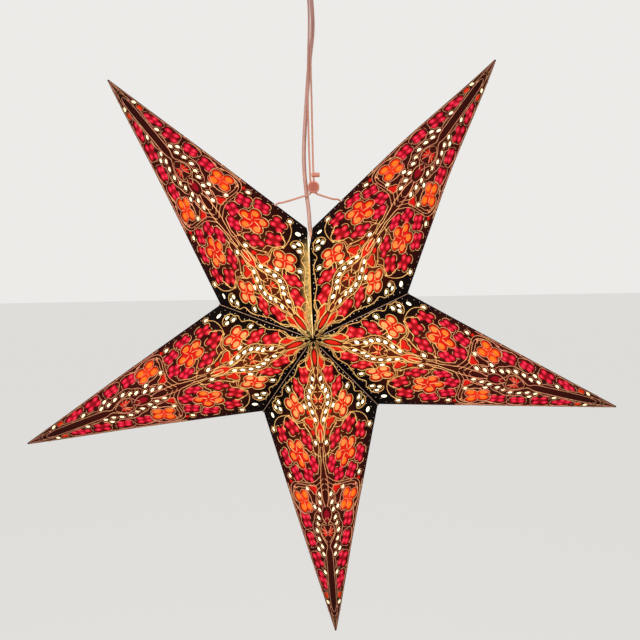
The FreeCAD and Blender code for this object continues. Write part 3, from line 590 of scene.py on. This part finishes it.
# ---- the raised gold lines
LINES = [
    [(26, 1.2), (33, 4.8), (40, 9.6), (46, 12.2), (52, 15.9), (59, 17.4), (66, 15.8), (71.5, 12.6), (77, 9.4),
     (83, 5), (90, 4.6)],
    [(42, 0.9), (47, 3.1), (51, 6.4), (55.5, 8.9), (60, 9.4), (64.5, 8.4), (68.5, 5.5), (73, 2.4), (78.5, 1)],
    [(30.5, 21.8), (36, 25), (42, 28.2), (45.5, 32.5), (51, 37.5), (55, 42.3), (61, 46.4), (67.5, 48),
     (70, 52.2), (71.8, 56.6), (76.2, 58.8), (79.2, 62.2), (84.2, 63), (87.6, 60), (88.4, 55), (86.6, 50.4)],
    [(8, 2.2), (15, 5.2), (21, 10.2), (26, 16), (30.5, 21.8)],
    [(27, 9.6), (29.5, 13.6), (31.5, 18.2), (30.5, 21.8)],
    [(8, 1), (12, 3.2), (18, 4), (26, 3), (31, 5.6), (29.6, 9.8), (24, 11.6), (17.6, 9), (15, 5.2)],
    [(62, 18.8), (66.6, 22.8), (67.4, 26.6), (61.2, 28.4), (60.4, 33)],
    [(79, 8.8), (80.2, 17.6), (83.6, 22.6), (87.4, 27.6), (88, 34), (86.4, 41), (88.6, 48), (93, 56),
     (99.5, 62.4), (107, 65.8)],
    [(83.6, 22.6), (88.4, 20.6), (92.6, 15.6), (96.6, 11.6), (101.8, 11.2)],
    [(91.8, 20), (94, 27), (90.4, 31.4), (88.2, 36.4)],
    [(86.4, 41), (90.4, 47.2), (96, 48.4), (101.4, 50.4), (103, 47.4)],
    [(100, 3.4), (107, 3.2), (113.4, 4.6), (120, 4), (127, 5.6), (134, 7.4)],
    [(113.6, 1), (113.4, 8), (114, 14.4), (112.4, 22.2), (117.4, 24.2)],
    [(106, 11), (111, 10.2), (113.4, 8), (118, 8.8)],
    [(117, 1.2), (126, 2.6), (133.5, 3.6), (139.6, 8.4), (145.6, 14.6), (149.6, 22), (152, 29.4),
     (154.6, 36.8), (157.4, 43), (161.4, 47), (166.4, 48.8), (173, 47.8), (181, 44.6)],
    [(136, 1.2), (142.6, 6.2), (148.6, 12.6), (151.8, 20.8), (154.6, 29.8), (156.8, 36.2), (160, 41.8),
     (164.6, 45.2)],
    [(130, 3), (140, 4.4), (150, 4.2), (159, 3.6), (166, 1)],
    [(158.4, 27.6), (161.6, 22.4), (167.4, 19.4), (175, 20.4), (181.8, 23.2), (186.8, 28.4), (188, 35),
     (185.6, 40.4), (181, 44.6)],
    [(162.6, 38.6), (163, 43), (167.4, 45.4), (172, 45)],
    [(157.6, 12), (163.8, 13.4), (168.6, 13), (170, 17.6), (167.4, 19.4)],
    [(177, 13.4), (181.6, 16.4), (188.2, 17.8), (194.6, 20.4), (201, 20), (206.4, 17.6), (212, 15.8),
     (216.6, 18.6)],
    [(164, 1), (168.4, 4.4), (174.2, 6.4), (180.2, 5.8), (184.6, 1)],
    [(186.4, 12.6), (192, 12.2), (198, 10.8), (203, 7.6), (206.6, 3.6), (208.6, 1.7), (211.8, 2), (216, 3.5),
     (222, 4.3), (236, 4.3), (252, 4.4), (266, 4.2), (276, 3.8), (281.6, 2.8), (284.6, 1.3), (285, 0.4)],
    [(226, 10.6), (223.6, 14.4), (225, 19.4), (228.6, 25.6), (234.4, 27.4)],
    [(275, 5.8), (282, 5.2), (287, 3.8), (290, 2), (290.6, 0.5)],
    [(292.4, 0.8), (296, 1.4), (301, 1), (306.5, 0.6)],
    [(288.4, 4.4), (293, 3), (299, 2.3), (304, 1.5)],
    [(78.6, 1), (86, 4), (93, 4.2), (99, 1.4)],
    [(183, 41.6), (188.6, 37.4), (193.6, 37.2), (200.6, 37.2)],
    [(204, 26.4), (206, 32), (211.6, 33.2), (218, 32.2), (222.4, 28)],
    [(243.6, 13.4), (245.2, 18.8), (250.4, 20), (257, 18), (263.4, 14)],
    [(3, 0.9), (8, 3.4), (14, 6.6), (20, 8), (24, 11.6)],
    [(4, 2.4), (8, 5.6), (14, 7.2), (19, 9.6), (22.6, 13.6), (25.4, 18.4), (30, 21.4)],
    [(26, 1), (31, 2.4), (35.4, 1.2)],
    [(29, 4.2), (33.6, 7.2), (37.6, 9.4), (42, 10)],
    [(33, 0.9), (39, 2.6), (43.4, 4.8), (48.6, 8.4)],
    [(62.6, 1), (66.2, 3.6), (70.6, 4.4), (75.6, 2.6)],
    [(68, 10.4), (73, 11.6), (78, 9.9)],
    [(84, 6.2), (89.4, 6), (95, 4.8), (100.6, 5)],
    [(86, 1), (93, 2.2), (99, 1)],
    [(103, 1), (109, 1.9), (117, 1)],
    [(141, 1), (146.4, 5.2), (151.4, 9.6), (156.6, 12.8)],
    [(147, 1), (152.4, 4.8), (160, 5.4), (168, 5.6)],
    [(160.6, 11), (166, 12), (170.4, 14.4)],
    [(178, 1), (185, 5), (190.4, 9.8)],
    [(154.4, 22), (158, 30.6), (160.2, 37), (164, 42), (169.6, 44.6)],
    [(86.6, 22.8), (89.6, 29.4), (89.4, 35.4), (87.8, 41.6)],
    [(60.6, 22.6), (64.2, 25.4), (63.6, 30.4)],
    [(224.6, 5.8), (230, 7.6), (238, 6.8)],
    [(245.6, 6.6), (252, 6.4), (262, 6.4), (268.6, 7)],
]
KNOTS = [(30.5, 21.8), (86.4, 41), (113.4, 8), (88.4, 20.6), (185.6, 40.4), (8.5, 1.8), (107, 65.8),
         (163, 43), (281, 4)]
WIDE, MEDIUM, NARROW, HAIRLINE = 0.8, 0.68, 0.6, 0.5  # widths of the lines
LINE_HEIGHT, ARC_HEIGHT = 0.55, 0.4
SINK = 0.12  # how deep the lines go into the card
SHORTEST_ARC = 4  # places


def edge_line():
    """The line that keeps to the outer edge."""
    places = []
    for i in range(22):
        x = 163 + i * 6.6
        inset = min(2.5 - 0.6 * i / 20 + 0.5 * math.sin(i * 1.9), 0.45 * edge_height(x))
        places.append((x, edge_height(x) - inset))
    return places


def gold_lines():
    """Every raised line of a facet, as (points, closed, width)."""
    lines = [(smooth(points), False, WIDE if points[0][0] < 100 else MEDIUM) for points in LINES]
    lines.append((smooth(edge_line(), step=2.2), False, NARROW))
    lines.append((lobed(*MEDALLION, PETALS, 6.1, 50, 10.4), True, NARROW))
    for i in range(5):
        turn = -93 + 36 + 72 * i
        lines.append(([polar(*MEDALLION, 2.0 + 1.8 * k, turn + 4 * k) for k in range(6)], False, NARROW))
    for x, y, reach, turns, petal in FLOWERS:
        lobes = [polar(x, y, reach, turn) for turn in turns]
        lines.append((lobed(x, y, lobes, petal + 2.0, 44, 8.2), True, NARROW))
        for first, second in zip(turns, turns[1:] + (turns[0] + 360,)):
            between = (first + second) / 2
            lines.append(([polar(x, y, 1.5 + 1.9 * k, between) for k in range(4)], False, NARROW))
    for outline in (leaf(23.8, 7.7, 16.0, 7.6, 14), leaf(270.8, 9.4, 9.8, 6.6, 16),
                    lobed(*INNER_BUD, 3.8, 24, 4.4), lobed(*OUTER_BUD, 3.3, 22)):
        lines.append((outline, True, NARROW))
    for x, radius, petals in ROSETTES:
        for i in range(1, petals):
            vein = [polar(x, 0.0, 1.2 + (radius - 1.2) * k / 3, 180.0 * i / petals) for k in range(4)]
            lines.append((vein, False, HAIRLINE))
        lines.append(([polar(x, 0.0, radius + 1.2, 5 + 170 * k / 16) for k in range(17)], False, 0.65))
    return lines


# ---- from the flat facet to the star
def lifted(points, depth, *where):
    """Flat points put on one of a star point's four facets, some way below its face, in metres."""
    points = np.asarray(points, float).reshape(-1, 2).copy()
    if depth > 0:
        on_ridge, on_edge = on_folds(points)
        points[on_ridge, 1] += depth * OUTWARD[0] / ACROSS[0]
        inwards = ALONG * EDGE_IN[0] + ACROSS * EDGE_IN[1]
        points[on_edge] += EDGE_IN * depth * OUTWARD[1] / inwards[1]
    return carried(PEAK + points[:, :1] * ALONG + points[:, 1:] * ACROSS - depth * OUTWARD, *where)


def on_folds(points):
    """Which flat points lie on the ridge, and which on the outer fold."""
    return points[:, 1] < 1e-3, (points - CORNER) @ EDGE_IN < 1e-3


def carried(space, left, back, turn):
    """Points of the front right facet, mirrored and turned to where they belong, in metres."""
    space = np.asarray(space, float).reshape(-1, 3) * ((-1 if left else 1), (-1 if back else 1), 1)
    angle = math.radians(turn + STAR_ROLL)
    sine, cosine = math.sin(angle), math.cos(angle)
    x, y, z = space.T
    moved = np.stack((x * cosine - z * sine, y, x * sine + z * cosine), 1)
    moved[:, (0, 2)] += settled(space, left, turn)
    moved[:, 2] += STAR_MIDDLE
    return moved * MM


def ease(value, low, high):
    """0 below low, 1 above high, and smooth between."""
    t = np.clip((value - low) / (high - low), 0.0, 1.0)
    return t * t * (3 - 2 * t)


def at_seam(left, turn):
    """Whether this side of a point is beside the tied seam, which is between the two upper points."""
    return turn == POINTS["upper_right" if left else "upper_left"]


def settled(space, left, turn):
    """How far points of one card's side have moved from the regular star."""
    names = {place: name for name, place in POINTS.items()}
    own, beside = SETTLED[names[turn]], SETTLED[names[(turn + (72 if left else -72)) % 360]]
    radius = np.hypot(space[:, 0], space[:, 2])[:, None]
    from_ridge = np.clip(np.arctan2(abs(space[:, 0]), space[:, 2]) / HALF_STEP, 0.0, 1.0)[:, None]
    share = (0.25 if at_seam(left, turn) else 0.5) * from_ridge ** 2
    inner = np.array(own[0]) * (1 - share) + np.array(beside[0]) * share
    grown = ease(radius, 0.0, 60.0)
    front = ease(-space[:, 1:2], 0.0, 20.0) * (1 - ease(radius, 100.0, 165.0))
    inner = np.array(PEAK_LEAN) * (1 - grown) + inner * grown
    return inner * front + np.array(own[1]) * ease(radius, 175.0, STAR_RADIUS)


def clipped(outline, normal, offset):
    """The part of a convex outline where normal . point >= offset."""
    result = []
    for a, b in sides(outline):
        da, db = a @ normal - offset, b @ normal - offset
        if da >= 0:
            result.append(a)
        if da * db < 0:
            result.append(a + (b - a) * da / (da - db))
    return result


# square to the plane between two points of the star, into the facet; and in that plane, away from the middle
SEAM_NORMAL = np.array((-math.cos(HALF_STEP), 0.0, math.sin(HALF_STEP)))
SEAM_OUT = np.array((math.sin(HALF_STEP), 0.0, math.cos(HALF_STEP)))


def in_facet(direction, offset):
    """A plane's inequality in space, as one on the flat facet."""
    return np.array((direction @ ALONG, direction @ ACROSS)), offset - direction @ PEAK


def seam_outline():
    """A facet beside the tied seam: cut back for the slit and for the cable's way in."""
    outline = clipped(OUTLINE, *in_facet(SEAM_NORMAL, SEAM))
    low, top = VALLEY_RADIUS - 10 * CABLE_RADIUS, VALLEY_RADIUS + FIN_HEIGHT
    rise = (CABLE_RADIUS + CABLE_ROOM - SEAM) / (top - low)
    return clipped(outline, *in_facet(SEAM_NORMAL - rise * SEAM_OUT, SEAM - rise * low))


def tie_hole():
    """Half of the hole that the tie cord goes through, on the outer fold."""
    place = CORNER - EDGE * TIE_HOLE_PLACE
    angles = [math.pi * i / 8 for i in range(9)]
    return [tuple(place + TIE_HOLE * (math.cos(a) * EDGE + math.sin(a) * EDGE_IN)) for a in angles]


def divided(outline, step=8.0):
    """An outline with more points along its sides, counted from the end nearer to the tip."""
    result = []
    for a, b in sides(outline):
        length = np.linalg.norm(b - a)
        shares = [k * step / length for k in range(1, int((length - 2.0) / step) + 1)]
        if b[0] > a[0]:
            shares = [1 - share for share in reversed(shares)]
        result += [a] + [a + (b - a) * share for share in shares]
    return result


def holds(outline, corners):
    """Whether an outline holds every corner."""
    return min(left_of(a, b, np.array(corners)).min() for a, b in sides(outline)) >= -1e-4


def window_marks(windows):
    """Points spread over the windows."""
    marks = []
    for _, outline in windows:
        outline = np.array(outline)
        middle = outline.mean(0)
        marks += [middle + (outline - middle) * share for share in (0.0, 0.35, 0.7, 1.0)]
    return np.concatenate(marks)


def gap(place, marks):
    """How far a place is from the nearest mark."""
    return np.linalg.norm(marks - place, axis=1).min()


NET = (8.0, 7.0)  # mesh of the net of points, along and across
NET_ROOM = 3.0  # from its points to the windows and the outline


class Facet:
    """A facet cut into triangles: each knows its window, or none."""

    def __init__(self, outline, windows):
        self.outline = outline
        inside = [w for w in windows if w[0] == "hole" or holds(outline, w[1])]
        points, faces = [], []
        for corners in [divided(outline)] + [w[1] for w in inside]:
            corners = [Vector((float(x), float(y))) for x, y in corners]
            if sum(a.cross(b) for a, b in sides(corners)) < 0:
                corners.reverse()
            faces.append(list(range(len(points), len(points) + len(corners))))
            points += corners
        marks = window_marks(inside)
        # a net of points between the windows, so that the facet can bend
        for place in ((NET[0] * i, NET[1] * j) for i in range(1, 38) for j in range(1, 12)):
            around = [polar(*place, NET_ROOM, turn) for turn in (0, 90, 180, 270)]
            if holds(outline, around) and gap(place, marks) > NET_ROOM:
                points.append(Vector(place))
        made = delaunay_2d_cdt(points, [], faces, 1, 1e-5, True)
        self.points = np.array([tuple(v) for v in made[0]])
        self.triangles, self.tissues = [], []
        for corners, sources in zip(made[2], made[5]):
            if 0 not in sources:
                continue
            a, b, c = (self.points[i] for i in corners)
            if left_of(a, b, c) < 0:
                corners = corners[::-1]
            over = [inside[i - 1][0] for i in sorted(sources) if i]
            self.triangles.append(tuple(corners))
            self.tissues.append("hole" if "hole" in over else over[-1] if over else None)

    def sheet(self, near, far, keep, where):
        """Points and faces of a sheet between two depths: its front, then its back, then its walls."""
        count = len(self.points)
        front = [t for t, tissue in zip(self.triangles, self.tissues) if keep(tissue)]
        edges = {edge: True for a, b, c in front for edge in ((a, b), (b, c), (c, a))}
        folds = on_folds(self.points)
        walls = [(b, a, a + count, b + count) for a, b in edges
                 if (b, a) not in edges and not any(fold[a] and fold[b] for fold in folds)]
        faces = front + [tuple(i + count for i in t[::-1]) for t in front] + walls
        points = [lifted(self.points, level, *where) for level in (near, far)]
        return np.concatenate(points), faces


def linked(name, data):
    """A new object in the scene."""
    made = bpy.data.objects.new(name, data)
    bpy.context.scene.collection.objects.link(made)
    return made


class Piece:
    """A mesh being gathered from many patches."""

    def __init__(self, materials):
        self.materials = materials
        self.points, self.faces, self.slots = [], [], []
        self.count = 0

    def add(self, points, faces, slot=0, flipped=False):
        """Points in metres, faces by their numbers within them; slot is one number or one for each face."""
        self.points.append(points)
        self.faces += [[i + self.count for i in (face[::-1] if flipped else face)] for face in faces]
        self.slots += [slot] * len(faces) if isinstance(slot, int) else list(slot)
        self.count += len(points)

    def build(self, name, slot, node):
        """The finished object: it rides on the root and stands for its node."""
        mesh = bpy.data.meshes.new(name)
        mesh.from_pydata(np.concatenate(self.points).tolist(), [], self.faces)
        for material in self.materials:
            mesh.materials.append(material)
        mesh.polygons.foreach_set("material_index", self.slots)
        mesh.update()
        return placed(linked(name, mesh), node)


def placed(piece, node):
    """Tells the frame what a piece rides on, and hides the node that it stands for."""
    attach(piece, "root")
    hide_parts(node)
    return piece


def tube_faces(rows, count, closed=False):
    """The faces between rows of points that lie side by side round a line, with ends unless it is closed."""
    faces = []
    for i in range(count if closed else count - 1):
        j = (i + 1) % count
        for row in range(0, rows * count, count):
            beside = (row + count) % (rows * count)
            faces.append((row + i, beside + i, beside + j, row + j))
    if not closed:
        faces.append(tuple(k * count for k in range(rows))[::-1])
        faces.append(tuple(k * count + count - 1 for k in range(rows)))
    return faces


def strip(points, closed, width, height):
    """A raised line with a domed section: flat places with their heights, and faces."""
    line = np.array(points, float)
    ahead = np.roll(line, -1, 0) - np.roll(line, 1, 0) if closed else np.gradient(line, axis=0)
    ahead /= np.linalg.norm(ahead, axis=1)[:, None] + 1e-9
    aside = np.stack((-ahead[:, 1], ahead[:, 0]), 1)
    half = [(0.5, -SINK), (0.42, 0.5 * height), (0.15, height)]
    section = [(-offset, level) for offset, level in half] + half[::-1]
    swell = np.array([1.0 + 0.16 * rng.uniform(-1, 1) for _ in line])
    rows = [(line + aside * (offset * width * swell)[:, None], level) for offset, level in section]
    return rows, tube_faces(len(rows), len(line), closed)


def dome(x, y, radius, height, count=8):
    """A small raised drop."""
    rows = [(ring(x, y, radius * share, count), level)
            for share, level in ((1.0, -0.1), (0.82, 0.55 * height), (0.4, height))]
    faces = [(k + i, k + (i + 1) % count, k + count + (i + 1) % count, k + count + i)
             for k in (0, count) for i in range(count)]
    return rows, faces + [tuple(range(2 * count, 3 * count)), tuple(range(count))[::-1]]


def margin(x, y):
    """How far a place is inside the part of the facet that short arcs fill."""
    from_valley = (CORNER[1] * x - CORNER[0] * y) / np.linalg.norm(CORNER)
    from_edge = (np.array((x, y)) - CORNER) @ EDGE_IN
    bare = 5.2 if 98 < x < 168 else 3.6 if x > 205 else 1.6
    return min(from_valley - 5.4, from_edge - 2.6, y - bare)


def short_arcs(windows, lines):
    """Short arcs round the lobes and the light dots, as far as windows and lines leave room for them."""
    flowers = [(cluster_lobes(*cluster), cluster[:2], LOBE) for cluster in CLUSTERS]
    flowers.append((PETALS, MEDALLION, MEDALLION_LOBE))
    flowers += [([polar(x, y, reach, turn) for turn in turns], (x, y), petal + FLOWER_RIM)
                for x, y, reach, turns, petal in FLOWERS]
    arcs = []  # places, then the room they need from windows, margin and lines, and their width
    for lobes, (x, y), radius in flowers:
        for lx, ly in lobes:
            facing = math.degrees(math.atan2(ly - y, lx - x))
            arcs.append(([polar(lx, ly, radius + 1.5, facing - 70 + 14 * k) for k in range(11)],
                         0.75, -1.0, 0.8, NARROW))
    for x, y in DOTS:
        for facing in (35, 155, 275):
            arcs.append(([polar(x, y, DOT + 1.1, facing - 55 + 16 * k) for k in range(8)],
                         0.7, -2.0, 0.75, HAIRLINE))
    holes = window_marks(windows)
    drawn = np.concatenate([np.array(points) for points, _, _ in lines])
    result = []
    for places, from_holes, inside, from_lines, width in arcs:
        run = []
        for place in places + [None]:
            if (place and gap(place, holes) > from_holes and margin(*place) > inside
                    and gap(place, drawn) > from_lines):
                run.append(place)
                continue
            if len(run) >= SHORTEST_ARC:
                result.append((run, False, width))
                drawn = np.concatenate((drawn, run))
            run = []
    return result


def gold_patches(windows):
    """All raised lines and drops of a facet: rows of flat points with their heights, and faces."""
    lines = gold_lines()
    arcs = short_arcs(windows, lines)
    patches = [strip(*line, LINE_HEIGHT) for line in lines] + [strip(*arc, ARC_HEIGHT) for arc in arcs]
    patches += [dome(x, y + 1.0, 0.85, 0.7, 6) for x, y in edge_line()[1::3]]
    return patches + [dome(x, y, 1.25, 0.9) for x, y in KNOTS]


WINDOWS = facet_windows()
PLAIN = Facet(OUTLINE, WINDOWS)
AT_SEAM = Facet(seam_outline(), WINDOWS + [("hole", tie_hole())])
GOLD = gold_patches(WINDOWS)
CARD_MATERIALS = [card_material(), fin_edge_highlight_material(), gold_material()]
TISSUE_NAMES = list(TISSUES)


def add_fin(piece, seam, left, back, turn):
    """One glued fin: a thin strip that stands out of the valley."""
    run = unit(VALLEY - PEAK)
    rise = facing(np.cross(SEAM_NORMAL, run), PEAK)
    start = PEAK + run * FIN_START + SEAM_NORMAL * (SEAM if seam else 0.0)
    end = start + run * (np.linalg.norm(VALLEY - PEAK) - FIN_START) * (SEAM_FIN if seam else 1.0)
    corners = [start - rise * 0.1, end - rise * 0.1, end - run * 2.0 + rise * FIN_HEIGHT,
               start + run * 2.0 + rise * FIN_HEIGHT]
    points = np.array(corners + [c + SEAM_NORMAL * CARD for c in corners])
    faces = [(0, 1, 2, 3), (7, 6, 5, 4), (1, 0, 4, 5), (2, 1, 5, 6), (3, 2, 6, 7), (0, 3, 7, 4)]
    # painted highlight: the left fins away from the seam get the pale edge on their top and end faces; the
    # others stay black
    pale = 1 if left and not seam else 0
    piece.add(carried(points, left, back, turn), faces, [0, 0, 0, pale, pale, 0], left != back)


def make_point(name, turn):
    """The card and the lining of one point of the star."""
    card, lining = Piece(CARD_MATERIALS), Piece(list(TISSUES.values()))
    near = CARD + LINING_GAP
    for left, back in ((False, False), (False, True), (True, False), (True, True)):
        seam = at_seam(left, turn)
        facet = AT_SEAM if seam else PLAIN
        flipped = left != back
        where = (left, back, turn)
        card.add(*facet.sheet(0.0, CARD, lambda tissue: tissue is None, where), 0, flipped)
        add_fin(card, seam, *where)
        for rows, faces in GOLD:
            if not seam or all(holds(facet.outline, row) for row, _ in rows):
                points = np.concatenate([lifted(row, -level, *where) for row, level in rows])
                card.add(points, faces, 2, flipped)
        points, faces = facet.sheet(near, near + LINING, lambda tissue: tissue != "hole", where)
        slots = [TISSUE_NAMES.index(tissue or "sheet") for tissue in facet.tissues if tissue != "hole"]
        slots += [TISSUE_NAMES.index("back")] * (len(faces) - len(slots))
        lining.add(points, faces, slots, flipped)
    card.build(name + "_card_cut", "card", name + "_card")
    lining.build(name + "_lining_lit", "lining", name + "_lining")


for point_name, point_turn in POINTS.items():
    make_point(point_name, point_turn)


# ---- cords, in millimetres from the star's middle
FRONT = -1.5
# x of the left and the right strand, then y and z of both
STRANDS = [(-2.5, 2.5, -0.1, 307.5), (-1.5, 1.2, -0.7, 296), (-1.7, 0.6, -1.3, 275), (-3.1, -0.8, FRONT, 249),
           (-3.8, -0.3, FRONT, 213), (-3.6, -0.2, FRONT, 168), (-2.8, 0.2, FRONT, 140)]
CROWN_TURNS = (157.5, 112.5, 67.5, 22.5)
CROWN_RADIUS = 2.75  # of the cord's line over the hook
HOOK_WIRE = 1.6  # from the hook's lowest place up to the middle of its wire
CABLE = [(0.2, 12.4, 315), (1.4, 6.6, 299), (2.1, 3.4, 276), (-1.8, 2.6, 249), (-5, 2.7, 213),
         (-8.6, 2.7, 170), (-8.4, 3, 147), (-6.7, 2.8, 128), (-4.6, 1.5, 110), (-4, 0.2, 93)]


def hung(x, y, z):
    """A point given from the star's middle, in metres."""
    return Vector((x, y, z + STAR_MIDDLE)) * MM


def route_curve(name, points):
    """A smooth line with a cord's route as its control points."""
    curve = bpy.data.curves.new(name, "CURVE")
    curve.dimensions = "3D"
    curve.resolution_u = 16
    spline = curve.splines.new("NURBS")
    spline.points.add(len(points) - 1)
    for control, point in zip(spline.points, points):
        control.co = (*point, 1.0)
    spline.order_u = 3
    spline.use_endpoint_u = True
    return linked(name, curve)


def gone_along(line):
    """How far each point of a line is along it."""
    return np.concatenate(([0.0], np.cumsum(np.linalg.norm(np.diff(line, axis=0), axis=1))))


def followed(piece, step):
    """Evenly spaced points along a curve's own line; the curve itself is thrown away."""
    bpy.context.view_layer.update()
    mesh = bpy.data.meshes.new_from_object(piece)
    line = np.array([tuple(vertex.co) for vertex in mesh.vertices])
    bpy.data.objects.remove(piece)
    bpy.data.meshes.remove(mesh)
    gone = gone_along(line)
    places = np.linspace(0.0, gone[-1], round(gone[-1] / step) + 1)
    return np.stack([np.interp(places, gone, line[:, i]) for i in range(3)], 1)


def frames(line):
    """Two directions square to a line at each of its points, carried along it without twist."""
    ahead = np.gradient(line, axis=0)
    ahead /= np.linalg.norm(ahead, axis=1)[:, None]
    first = [unit(np.cross(ahead[0], (0.0, 1.0, 0.0)))]
    for direction in ahead[1:]:
        first.append(unit(first[-1] - direction * (direction @ first[-1])))
    first = np.array(first)
    return first, np.cross(ahead, first)


def twisted_cord(name, line, radius, plies=3, pitch=5.2, sides=7):
    """A laid cord: round plies that wind about the line."""
    gone = gone_along(line)
    one, two = frames(line)
    ply = radius * 0.52
    made = Piece([cord_material()])
    for k in range(plies):
        turn = 2 * math.pi * (gone / (pitch * MM) + k / plies)
        middle = line + (radius - ply) * (np.cos(turn)[:, None] * one + np.sin(turn)[:, None] * two)
        angles = [2 * math.pi * i / sides for i in range(sides)]
        rows = [middle + ply * (math.cos(angle) * one + math.sin(angle) * two) for angle in angles]
        made.add(np.concatenate(rows), tube_faces(sides, len(line)), 0, True)
    piece = made.build(name, "cord", "hanging_cord")
    for face in piece.data.polygons:
        face.use_smooth = len(face.vertices) == 4
    return piece


def middle_of(node):
    """The middle of a node's box."""
    low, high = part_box(node)
    return (low + high) / 2


def make_hanging_cord():
    """One cord: knotted inside the left point, up through the bead, over the hook and back the same way."""
    fold = unit(TIP - VALLEY)
    hole = VALLEY + fold * TIE_HOLE_PLACE
    out = np.array((fold[2], 0.0, -fold[0]))
    legs = []
    for side, name, across in ((-1, "left", -1.8), (1, "right", 1.3)):
        where = (side > 0, False, POINTS["upper_" + name])
        start, near = (Vector(carried(hole + out * reach, *where)[0]) for reach in (2.0, 3.2))
        low = Vector((across * MM, FRONT * MM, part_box("cord_bead")[0].z - 0.2 * MM))
        strand = [hung(right if side > 0 else left, y, z) for left, right, y, z in reversed(STRANDS)]
        legs.append([middle_of(name + "_knot"), start, near + Vector((-side * 4.5, -0.4, -1.2)) * MM,
                     low + Vector((side * 5.0, 0.0, -1.6)) * MM, low] + strand)
    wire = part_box("ceiling_hook")[0].z / MM + HOOK_WIRE
    corner = CROWN_RADIUS / math.cos(math.radians(22.5))
    crown = [polar(0.0, wire, corner, turn) for turn in CROWN_TURNS]
    route = legs[0] + [Vector((x, 0.0, z)) * MM for x, z in crown] + legs[1][::-1]
    line = followed(route_curve("cord_line", route), 0.55 * MM)
    piece = twisted_cord("hanging_cord_laid", line, CORD_RADIUS * MM)


def make_power_cable():
    """The lamp cable, from the terminal block to the lampholder."""
    block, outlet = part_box("terminal_block"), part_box("cable_outlet")
    behind = middle_of("cable_outlet").y
    route = [Vector((0.0, behind, block[0].z)), Vector((0.0, behind, outlet[0].z - 2.0 * MM))]
    route += [hung(*point) for point in CABLE]
    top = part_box("lampholder_cap")[1].z
    route += [Vector((0.0, 0.0, top + 8.0 * MM)), Vector((0.0, 0.0, top - 3.2 * MM))]
    piece = route_curve("power_cable_sheath", route)
    piece.data.bevel_depth = CABLE_RADIUS * MM
    piece.data.bevel_resolution = 6
    piece.data.materials.append(sheath_material())
    placed(piece, "power_cable")


make_hanging_cord()
make_power_cable()


# ---- the fittings keep their shapes
def dress(material, *nodes):
    """Gives CAD nodes a better material."""
    for node in nodes:
        piece = bpy.data.objects[node]
        piece.data.materials.clear()
        piece.data.materials.append(material)


dress(cord_material(), "left_knot", "right_knot")
dress(bead_material(), "cord_bead", "cord_barrel")
dress(smooth_material("holder", (232, 228, 218), (242, 238, 230), 0.4), "lampholder_cap", "lampholder_shell")
dress(smooth_material("contact_block", (196, 190, 176), (214, 208, 196), 0.6), "contact_block")
dress(smooth_material("cup", (232, 229, 222), (236, 233, 227), 0.38, 120.0, 0.03), "ceiling_cup")
dress(smooth_material("outlet", (212, 208, 198), (226, 222, 214), 0.5), "cable_outlet")
dress(smooth_material("terminal", (226, 222, 206), (240, 236, 222), 0.5), "terminal_block")
dress(smooth_material("zinc", (168, 168, 164), (196, 196, 192), 0.32, 900.0, 0.3, Metallic=1.0),
      "mounting_strap", "upper_nut", "lower_nut", "ceiling_hook")
dress(lamp_material(), "lamp")


# ---- stage, light and camera
def make_stage():
    """A pale floor well below the lantern."""
    made = Nodes("floor")
    made.set(Base_Color=(0.82, 0.81, 0.79, 1.0), Roughness=0.9)
    pale = made.add("Emission", {"Color": (0.83, 0.82, 0.80, 1.0)})
    made.blend(made.times(made.shown(), 0.72), pale)
    bpy.ops.mesh.primitive_plane_add(size=60.0, location=(0.0, 0.0, -1.9))
    floor = bpy.context.object
    floor.name = "floor"
    floor.data.materials.append(made.result)


def make_world():
    """Soft light from all round, and a pale background for the camera and for reflections."""
    made = Nodes("studio", "worlds", "Background", "World Output")
    made.set(Color=(1.0, 0.99, 0.97, 1.0), Strength=0.55)
    made.blend(made.shown(), made.add("Background", {"Color": (0.84, 0.83, 0.81, 1.0), "Strength": 1.0}))
    bpy.context.scene.world = made.result


def make_lamp(name, place, size, power):
    """A soft area lamp, aimed at the star's middle."""
    lamp = bpy.data.lights.new(name, "AREA")
    lamp.shape = "DISK"
    lamp.size = size
    lamp.energy = power
    holder = linked(name, lamp)
    holder.location = place
    holder.rotation_euler = (Vector(MIDDLE) - Vector(place)).to_track_quat("-Z", "Y").to_euler()


def make_camera():
    """The camera looks slightly down at the star's middle from in front, with a small roll."""
    camera = bpy.data.cameras.new("camera")
    camera.sensor_width = 36.0
    camera.lens = 39.4
    camera.clip_end = 100.0
    pitch, roll = math.radians(4.74), math.radians(-0.95)
    tip = Matrix(((1, 0, 0), (0, math.cos(pitch), -math.sin(pitch)), (0, math.sin(pitch), math.cos(pitch))))
    lean = Matrix(((math.cos(roll), 0, math.sin(roll)), (0, 1, 0), (-math.sin(roll), 0, math.cos(roll))))
    view = tip @ lean
    from_camera = Vector((-0.0039, 0.6651, -0.0087))  # to the star's middle: right, ahead and up, in metres
    right, ahead, up = view
    turn = Matrix((right, up, -ahead)).transposed()
    holder = linked("camera", camera)
    holder.matrix_world = Matrix.Translation(Vector(MIDDLE) - view.transposed() @ from_camera) @ turn.to_4x4()
    bpy.context.scene.camera = holder


make_stage()
make_world()
make_lamp("key", (-1.2, -1.8, 0.9), 1.6, 38.0)
make_lamp("fill", (1.6, -1.2, -0.2), 1.4, 14.0)
make_camera()
bpy.context.scene.view_settings.view_transform = "Standard"
